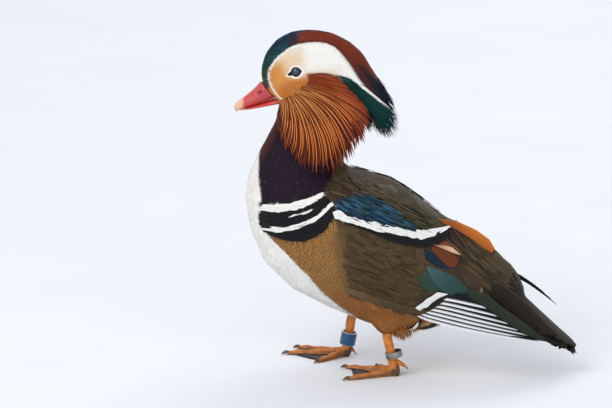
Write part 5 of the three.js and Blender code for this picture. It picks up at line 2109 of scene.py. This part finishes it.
    def build(self) -> None:
        """Make both wings' feathers."""
        effects, layer = self.shop.effects, QuillLayer(self.shop)
        broad = FeatherFinish("marked wing feathers", 0.55, 0.22, 46, bump=0.35).make(effects)
        vane = FeatherFinish("sail feather", 0.55, 0.12, 60, bump=0.35).make(effects)
        flight = FeatherFinish("flight feathers", 0.48, 0.12, 60, bump=0.3).make(effects)
        for which, side in PAIR:
            coverts = [q if side > 0 or q.edges is None else self.lowered(q) for q in self.coverts()]
            marked = self.streaks() + coverts + self.flank_ends()
            layer.make(marked, side, f"wing_marks_{which}", broad, "wing_feathers")
            layer.make(self.sail(side), side, f"sail_vane_{which}", vane, "sail_feathers", (f"sail_{which}",))
            layer.make(self.primaries(), side, f"flight_feathers_{which}", flight, "black_feathers",
                       (f"primaries_{which}",))


@dataclass
class Tail:
    """The fan of long tail feathers."""

    shop: Workshop
    pairs: int = 6

    def quills(self) -> list[Quill]:
        """Draw one half of the tail, the outermost feather first.

        Returns:
            The quills.
        """
        made = []
        tops = ((86, 84), (100, 71), (117, 54), (133, 39), (146.5, 28), (153, 20.6))
        ys, zs = [t[0] for t in tops], [t[1] for t in tops]
        for index in reversed(range(self.pairs)):
            end = 151.6 - 3.2 * index
            path = []
            for share in (0, 0.35, 0.7, 1):
                y = 82 + (end - 82) * share
                x = (1.4 + 2.4 * index) * (1 - share) + (1.6 + 3.1 * index) * share
                path.append((x, y, np.interp(y, ys, zs) - 2.4 - 1.3 * index))
            lift = 1.0 + (self.pairs - index) * 0.32
            made.append(Quill(
                tuple(path), 9.5, (lift, lift + 0.5), colour=mixed((44, 36, 28), (26, 24, 20), index / 5),
                gloss=0.05, upper=(74, 62, 48), lower=(20, 18, 16), edge=0.14, swell=0.2, taper=0.7, rows=16,
                camber=0.7,
            ))
        return made

    def build(self) -> None:
        """Make the tail."""
        material = FeatherFinish("tail feathers", 0.5, 0.14, 60, bump=0.3).make(self.shop.effects)
        layer = QuillLayer(self.shop)
        for which, side in PAIR:
            layer.make(self.quills(), side, f"tail_feathers_{which}", material, "black_feathers")


@dataclass
class Eyes:
    """Eyeballs and the dark rims of the lids."""

    shop: Workshop
    turns: int = 96
    sides: int = 8
    rim_size: Point2 = (0.62, 0.5)

    def ball_material(self) -> bpy.types.Material:
        """Build the eye: a near-black pupil tinted blue as a painted reflection, a dark brown iris that darkens
        towards the lids as painted shade, and a clear wet surface.

        Returns:
            The material.
        """
        material, kit, shader = begin_material("eye")
        where = kit.add("ShaderNodeTexCoord")
        _, y, z = self.shop.eye
        centred = kit.add("ShaderNodeMapping", in_Vector=where.outputs["Object"])
        centred.inputs["Location"].default_value = (0, -y * MM, -z * MM)
        parts = kit.add("ShaderNodeSeparateXYZ", in_0=centred.outputs[0])
        reach = kit.maths("SQRT", kit.maths("ADD", kit.maths("POWER", parts.outputs[1], 2.0),
                                            kit.maths("POWER", parts.outputs[2], 2.0)))
        noise = kit.add("ShaderNodeTexNoise", in_Vector=where.outputs["Object"], in_Scale=1500.0, in_Detail=3.0)
        edge = kit.maths("ADD", reach, kit.maths("MULTIPLY", noise.outputs[0], 0.0003))
        iris = kit.ramp(edge, 0.0024, 0.0027)
        rim = kit.ramp(edge, 0.0037, 0.0045)
        # painted reflection: the pupil is tinted blue; painted shade: the iris darkens to near black towards the
        # lids
        colour = kit.mix(iris, (0.007, 0.017, 0.036, 1), (0.012, 0.009, 0.008, 1))
        colour = kit.mix(rim, colour, (0.004, 0.004, 0.005, 1))
        kit.feed(shader, Base_Color=colour, Roughness=0.2, IOR=1.75, Specular_Tint=(0.4, 0.65, 1.0, 1),
                 Coat_Weight=0.5, Coat_Roughness=0.02)
        return material

    def rim(self, side: int, name: str) -> bpy.types.Object:
        """Sweep the lid's rounded dark edge round the almond.

        Args:
            side: 1 for the left eye, -1 for the right one.
            name: Name of the piece.

        Returns:
            The rim.
        """
        turns, sides = self.turns, self.sides
        angles = np.linspace(0, 2 * math.pi, turns, endpoint=False)
        almond, surface = self.shop.almond, self.shop.surface
        reach = almond.edge(angles) - 0.45
        places = np.stack([np.cos(angles), np.sin(angles)], axis=1) * reach[:, None] + almond.centre
        ex, ey, ez = self.shop.eye
        ball = self.shop.eye_radius + 0.35
        off = np.hypot(places[:, 0] - ey, places[:, 1] - ez)
        out = ex + np.sqrt(np.clip(ball**2 - off**2, 0, None))
        skin = []
        for place in places:
            hit = surface.from_side(place, side)
            skin.append(abs(hit[0][0]) if hit else 0)
        out = np.where(off < ball - 0.8, out, np.maximum(out * (off < ball), np.array(skin)))
        out = np.maximum(out, np.where(off > ball - 1.2, np.array(skin) + 0.1, 0))
        for _ in range(3):
            out = (np.roll(out, 1) + out * 2 + np.roll(out, -1)) / 4
        centres = np.stack([out * side, places[:, 0], places[:, 1]], axis=1)
        tangents = unit(np.roll(centres, -1, axis=0) - np.roll(centres, 1, axis=0))
        outward = np.tile(np.array([side, 0.0, 0.0]), (turns, 1))
        across = unit(np.cross(tangents, outward))
        mesh = bpy.data.meshes.new(name)
        shaped = bmesh.new()
        rings = []
        for k in range(turns):
            ring = []
            for j in range(sides):
                angle = 2 * math.pi * j / sides
                point = centres[k] + across[k] * math.cos(angle) * self.rim_size[0]
                point = point + outward[k] * math.sin(angle) * self.rim_size[1]
                ring.append(shaped.verts.new(point * MM))
            rings.append(ring)
        for k in range(turns):
            a, b = rings[k], rings[(k + 1) % turns]
            for j in range(sides):
                shaped.faces.new((a[j], b[j], b[(j + 1) % sides], a[(j + 1) % sides]))
        bmesh.ops.recalc_face_normals(shaped, faces=shaped.faces)
        shaped.to_mesh(mesh)
        shaped.free()
        smooth_faces(mesh)
        return linked(name, mesh)

    def build(self) -> None:
        """Make both eyes."""
        ball = self.ball_material()
        rim = HardFinish("lid edge", (16, 15, 17), (34, 30, 30), 0.5, scale=900, amount=0.5)
        lid = rim.make(self.shop.effects)
        x, y, z = (c * MM for c in self.shop.eye)
        for which, side in PAIR:
            bpy.ops.object.select_all(action="DESELECT")
            bpy.ops.mesh.primitive_uv_sphere_add(
                segments=48, ring_count=32, radius=self.shop.eye_radius * MM, location=(0, 0, 0),
                rotation=(0, math.pi / 2, 0),
            )
            eye = bpy.context.object
            eye.name = eye.data.name = f"eyeball_{which}"
            bpy.ops.object.transform_apply(location=False, rotation=True, scale=True)
            points = mesh_points(eye.data)
            bulge = np.clip((points[:, 0] * side / self.shop.eye_radius - 0.72) / 0.28, 0, 1)
            points[:, 0] += side * 0.35 * bulge**2
            move_points(eye.data, points + np.array([x * side, y, z]) / MM)
            bpy.ops.object.shade_smooth()
            self.shop.place(eye, ball, "eye", (f"eye_{which}",))
            self.shop.place(self.rim(side, f"lid_{which}"), lid, "black_feathers")


@dataclass
class Bill:
    """The bill: a soft horn sheath with nostrils, a pale nail and a bright cutting edge."""

    shop: Workshop
    voxel: float = 0.42
    nostril: Point2 = (-128.8, 246.6)
    nostril_way: Point2 = (-0.9, -0.42)
    nostril_size: Point2 = (2.9, 1.15)
    rose: Rgb = (198, 66, 64)
    plum: Rgb = (150, 52, 66)
    red: Rgb = (216, 52, 40)
    cream: Rgb = (230, 188, 160)
    nostril_shade: Rgb = (60, 14, 18)

    def shape(self, node: str) -> bpy.types.Object:
        """Copy a bill node and round its facets.

        Args:
            node: Name of the frame node.

        Returns:
            The piece.
        """
        piece = node_blend(self.shop.frame, (node,), node.replace("bill", "horn"), 0.12)
        apply_modifier(piece, "REMESH", mode="VOXEL", voxel_size=self.voxel * MM)
        apply_modifier(piece, "SMOOTH", factor=0.5, iterations=14)
        smooth_faces(piece.data)
        return piece

    def upper(self) -> bpy.types.Object:
        """Shape and colour the upper bill.

        Returns:
            The piece.
        """
        piece = self.shape("bill_upper")
        points, normals = mesh_points(piece.data), mesh_normals(piece.data)
        x, y, z = np.abs(points[:, 0]), points[:, 1], points[:, 2]
        # nostril: a slit that runs forward and down, with a raised rim; its dent is painted dark red as painted
        # shade
        run = unit(np.array(self.nostril_way))
        off = points[:, 1:] - self.nostril
        along, across = off @ run, off @ np.array([-run[1], run[0]])
        reach = np.hypot(along / self.nostril_size[0], across / self.nostril_size[1])
        wall = x > 1.5
        dent = np.clip(1.25 - reach, 0, 1) * wall
        rim = np.exp(-(((reach - 1.7) / 0.5) ** 2)) * wall
        points = points + normals * (rim * 0.35 - dent * 1.6)[:, None]
        # nail: a low shield on the tip
        nail = np.clip((-144.5 - y) / 1.2, 0, 1) * np.clip((4.4 - x) / 0.8, 0, 1)
        points = points + normals * (nail * 0.3)[:, None]
        move_points(piece.data, points)
        colour = np.tile(linear(self.rose), (len(points), 1))
        colour = tinted(colour, self.plum, np.clip((y + 136) / 14, 0, 1) * 0.35)
        edge = 236.6 + (y + 128) * 0.27
        colour = tinted(colour, self.red, np.clip((edge + 1.6 - z) / 1.6, 0, 1))
        colour = tinted(colour, self.cream, np.clip((-142.5 - y) / 2.5, 0, 1))
        # painted shade: the nostril's dent is painted dark red
        colour = tinted(colour, self.nostril_shade, np.clip(1.1 - reach, 0, 1) * wall)
        set_attributes(piece.data, colour)
        return piece

    def lower(self) -> bpy.types.Object:
        """Shape and colour the lower bill.

        Returns:
            The piece.
        """
        piece = self.shape("bill_lower")
        points = mesh_points(piece.data)
        colour = np.tile(linear((206, 62, 44)), (len(points), 1))
        colour = tinted(colour, (196, 96, 72), np.clip((points[:, 1] + 118) / 3, 0, 1))
        colour = tinted(colour, (226, 184, 160), np.clip((-141 - points[:, 1]) / 3, 0, 1))
        set_attributes(piece.data, colour)
        return piece

    def build(self) -> None:
        """Make both halves."""
        finish = TintedFinish("bill horn", 0.4, (128, 36, 48), 420, 0.35, 0.25, coat=0.25, subsurface=0.15)
        material = finish.make(self.shop.effects)
        self.shop.place(self.upper(), material, "bill", ("bill_upper",))
        self.shop.place(self.lower(), material, "bill", ("bill_lower",))


@dataclass
class Legs:
    """Scaled shanks, toes and webs, with their claws."""

    shop: Workshop
    voxel: float = 0.5
    claw_voxel: float = 0.28
    scute: float = 2.1
    orange: Rgb = (218, 128, 34)
    dull: Rgb = (150, 104, 58)
    groove: Rgb = (70, 42, 26)
    # painted shade for the toes' sides and the back of the ankle, and for the undersides of the toes below
    shade: Rgb = (40, 27, 23)
    web: Rgb = (9, 9, 11)
    sole_shade: Rgb = (70, 60, 54)
    horn: Rgb = (96, 66, 44)

    def build(self) -> None:
        """Make both legs."""
        scales = TintedFinish("leg scales", 0.55, (46, 26, 16), 190, 0.55, 0.5, coat=0.05, subsurface=0.04)
        horn = TintedFinish("claw horn", 0.38, (40, 28, 22), 500, 0.4, 0.2, coat=0.2)
        leg_material, horn_material = scales.make(self.shop.effects), horn.make(self.shop.effects)
        for which, _ in PAIR:
            toes = [f"toe_{which}_{t}" for t in ("middle", "outer", "inner", "hind")]
            webs = [f"web_{which}_{t}" for t in ("inner", "outer")]
            nodes = [f"shank_{which}", *toes, *webs]
            piece = node_blend(self.shop.frame, nodes, f"leg_{which}", 0.22)
            apply_modifier(piece, "REMESH", mode="VOXEL", voxel_size=self.voxel * MM)
            apply_modifier(piece, "SMOOTH", factor=0.5, iterations=5)
            self.scale(piece, which)
            self.shop.place(piece, leg_material, "leg_skin", nodes)
            claws = [f"claw_{which}_{t}" for t in ("middle", "outer", "inner", "hind")]
            horns = node_blend(self.shop.frame, claws, f"claws_{which}", 0.1)
            apply_modifier(horns, "REMESH", mode="VOXEL", voxel_size=self.claw_voxel * MM)
            apply_modifier(horns, "SMOOTH", factor=0.5, iterations=6)
            set_attributes(horns.data, np.tile(linear(self.horn), (len(horns.data.vertices), 1)))
            smooth_faces(horns.data)
            self.shop.place(horns, horn_material, "claw", claws)

    def scale(self, piece: bpy.types.Object, which: str) -> None:
        """Raise the scutes and colour leg, toes and webs, with painted shade on the toes' sides and undersides and
        at the back of the ankle.

        Args:
            piece: The leg.
            which: left or right.
        """
        points, normals = mesh_points(piece.data), mesh_normals(piece.data)
        gaps = {}
        for part in ("web", "toe", "shank"):
            gaps[part] = np.full(len(points), 1e3)
            for name, node in self.shop.frame["nodes"].items():
                if name.startswith(f"{part}_{which}"):
                    tree = BVHTree.FromObject(node, bpy.context.evaluated_depsgraph_get())
                    found = [tree.find_nearest(p)[3] for p in (points * MM).tolist()]
                    gaps[part] = np.minimum(gaps[part], np.array(found) / MM)
        web = np.clip((gaps["toe"] - gaps["web"] + 0.35) / 0.4, 0, 1) * (gaps["shank"] > 1.2)
        up = np.clip(normals[:, 2], 0, 1)
        ankle = np.array(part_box(f"shank_{which}")[0][:2]) / MM
        away = np.hypot(points[:, 0] - ankle[0] - 4, points[:, 1] - ankle[1])
        shank = gaps["shank"] < 0.9
        run = np.where(shank & (points[:, 2] > 6), points[:, 2] * 0.9, away) / self.scute
        groove = np.abs((run % 1) - 0.5) * 2
        ridge = np.clip((groove - 0.72) / 0.28, 0, 1)
        front = np.where(shank, np.clip(-normals[:, 1] * 1.4 + 0.2, 0, 1), np.clip(up * 1.5, 0, 1))
        shaped = points - normals * (ridge * 0.3 * front * (1 - web))[:, None]
        shaped[:, 2] = np.maximum(shaped[:, 2], 0)
        move_points(piece.data, shaped)
        colour = np.tile(linear(self.orange), (len(points), 1))
        colour = tinted(colour, self.dull, np.clip((7 - points[:, 2]) / 7, 0, 1) * 0.55)
        colour = tinted(colour, self.groove, ridge * front * 0.7)
        # painted shade: the sides of the toes near the ground and the back of the shank above the ankle are
        # darkened
        flank = np.clip(1.2 - np.abs(normals[:, 2]) * 2.2, 0, 1) * (points[:, 2] < 7) * (1 - web)
        rear_shade = np.clip(normals[:, 1] * 1.6, 0, 1) * np.clip((15 - points[:, 2]) / 6, 0, 1) * shank
        colour = tinted(colour, self.shade, np.clip(flank * 0.75 + rear_shade * 0.8, 0, 0.85))
        colour = tinted(colour, self.web, web)
        # painted shade: the downward faces of the toes near the ground are darkened
        under = np.clip(-normals[:, 2] - 0.3, 0, 1) * (points[:, 2] < 4)
        colour = tinted(colour, self.sole_shade, 0.5 * under)
        set_attributes(piece.data, colour)
        smooth_faces(piece.data)


@dataclass(frozen=True)
class Band:
    """Sizes of one ring, with the lean of its axis in degrees. The frame node it stands for gives its place."""

    node: str
    name: str
    inner: float
    outer: float
    height: float
    tilt: float

    def centre(self) -> np.ndarray:
        """Return the middle of the frame node, in metres."""
        return np.mean(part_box(self.node), axis=0)


@dataclass
class LegRings:
    """The two rings the bird wears."""

    shop: Workshop
    segments: int = 64
    rim: float = 5.0
    metal_ring: Band = Band("ring_left", "metal_ring", 6.7, 7.5, 5.4, 13)
    plastic_ring: Band = Band("ring_right", "plastic_ring", 5.6, 6.9, 11.6, -11)

    def ring(self, band: Band) -> bpy.types.Object:
        """Model one ring: a cylinder wall with thickness and rounded rims.

        Args:
            band: The ring's sizes.

        Returns:
            The ring.
        """
        bpy.ops.object.select_all(action="DESELECT")
        bpy.ops.mesh.primitive_cylinder_add(
            vertices=self.segments, radius=band.outer * MM, depth=band.height * MM, end_fill_type="NOTHING",
            location=band.centre(), rotation=(math.radians(band.tilt), 0, 0),
        )
        piece = bpy.context.object
        piece.name = piece.data.name = band.name
        bpy.ops.object.transform_apply(location=True, rotation=True, scale=True)
        wall = (band.outer - band.inner) * MM
        apply_modifier(piece, "SOLIDIFY", thickness=wall, offset=-1, use_even_offset=True)
        apply_modifier(piece, "BEVEL", width=0.22 * MM, segments=3, limit_method="ANGLE")
        smooth_faces(piece.data)
        bpy.ops.object.shade_smooth_by_angle(angle=math.radians(40))
        return piece

    def build(self) -> None:
        """Make both rings."""
        metal = HardFinish("ring metal", (150, 150, 148), (92, 92, 92), 0.36, metallic=1.0, scale=700, bump=0.3)
        blue = HardFinish("ring plastic", (8, 72, 116), (18, 86, 132), 0.38, scale=500, coat=0.2)
        rim = HardFinish("ring rim", (226, 228, 230), (200, 204, 208), 0.45, scale=500)
        left = self.ring(self.metal_ring)
        self.shop.place(left, metal.make(self.shop.effects), "metal_ring", ("ring_left",))
        right = self.ring(self.plastic_ring)
        self.shop.place(right, blue.make(self.shop.effects), "plastic_ring", ("ring_right",))
        right.data.materials.append(rim.make(self.shop.effects))
        lean = math.radians(self.plastic_ring.tilt)
        axis = np.array([0, -math.sin(lean), math.cos(lean)])
        for face in right.data.polygons:
            if abs((np.array(face.center) - self.plastic_ring.centre()) @ axis) > self.rim * MM:
                face.material_index = 1


@dataclass
class Studio:
    """Floor, lights, world and camera. foot is where the frame's origin falls in the picture."""

    shop: Workshop
    scale: float = 0.88
    width: float = 612.0
    height: float = 408.0
    azimuth: float = 98.0
    elevation: float = 15.0
    distance: float = 9.0
    sensor: float = 36.0
    foot: Point2 = (405.9, 367.0)
    aim: Point3 = (0, 0, 0.15)

    def camera(self) -> None:
        """Place the camera at the photograph's viewing angle, with a long lens."""
        turn, rise = math.radians(self.azimuth - 90), math.radians(self.elevation)
        back = np.array([math.cos(rise) * math.cos(turn), math.cos(rise) * math.sin(turn), math.sin(rise)])
        right = np.array([-math.sin(turn), math.cos(turn), 0])
        up = np.cross(back, right)
        off = right * (self.width / 2 - self.foot[0]) + up * (self.foot[1] - self.height / 2)
        aim = off * self.scale * MM
        data = bpy.data.cameras.new("camera")
        data.sensor_width = self.sensor
        data.lens = self.sensor * self.distance / (self.width * self.scale * MM)
        data.clip_end = 100
        camera = linked("camera", data)
        camera.location = aim + back * self.distance
        camera.rotation_euler = Matrix((right, up, back)).transposed().to_euler()
        bpy.context.scene.camera = camera

    def area(self, name: str, place: Point3, size: float, power: float, tone: Point3) -> None:
        """Hang a soft square light that faces the bird.

        Args:
            name: Name of the light.
            place: Where it hangs, in metres.
            size: Its side.
            power: Its power in watts.
            tone: Its colour.
        """
        data = bpy.data.lights.new(name, "AREA")
        data.size = size
        data.energy = power
        data.color = tone
        light = linked(name, data)
        light.location = place
        light.rotation_euler = (Vector(self.aim) - Vector(place)).to_track_quat("-Z", "Y").to_euler()

    def build(self) -> None:
        """Set the stage."""
        bpy.ops.object.select_all(action="DESELECT")
        bpy.ops.mesh.primitive_plane_add(size=14, location=(0, 0, 0))
        floor = bpy.context.object
        floor.name = floor.data.name = "floor"
        finish = HardFinish("floor", (226, 228, 232), (218, 220, 226), 0.8, scale=6, amount=0.5, bump=0.02)
        floor.data.materials.append(finish.make(self.shop.effects))
        world = bpy.data.worlds.new("studio")
        world.use_nodes = True
        world.node_tree.nodes["Background"].inputs[0].default_value = (0.92, 0.95, 1.0, 1)
        world.node_tree.nodes["Background"].inputs[1].default_value = 0.82
        bpy.context.scene.world = world
        self.area("key", (1.6, -1.3, 2.2), 1.6, 34, (1, 0.97, 0.93))
        self.area("fill", (2.2, 1.2, 1.0), 2.0, 11, (0.92, 0.96, 1))
        self.area("low", (1.5, -1.0, 0.16), 0.8, 3, (1, 0.99, 0.97))
        self.area("rim", (-1.8, 0.6, 1.8), 1.6, 16, (1, 1, 1))
        self.camera()
        bpy.context.scene.view_settings.view_transform = "Standard"


def main() -> None:
    """Load the frame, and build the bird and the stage."""
    logging.basicConfig(level=logging.INFO, format="%(name)s: %(message)s")
    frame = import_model()
    low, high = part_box("eye_left")
    eye = tuple((a + b) / 2 / MM for a, b in zip(low, high))
    radius = (high[2] - low[2]) / 2 / MM
    almond = Almond((eye[1], eye[2]))
    shop = Workshop(frame, Effects(), almond, Plumage(almond), eye, radius)
    Skin(shop).build()
    Coat(shop).build()
    Ruff(shop).build()
    Plumes(shop).build()
    Wing(shop).build()
    Tail(shop).build()
    Eyes(shop).build()
    Bill(shop).build()
    Legs(shop).build()
    LegRings(shop).build()
    Studio(shop).build()


if __name__ == "__main__":
    main()
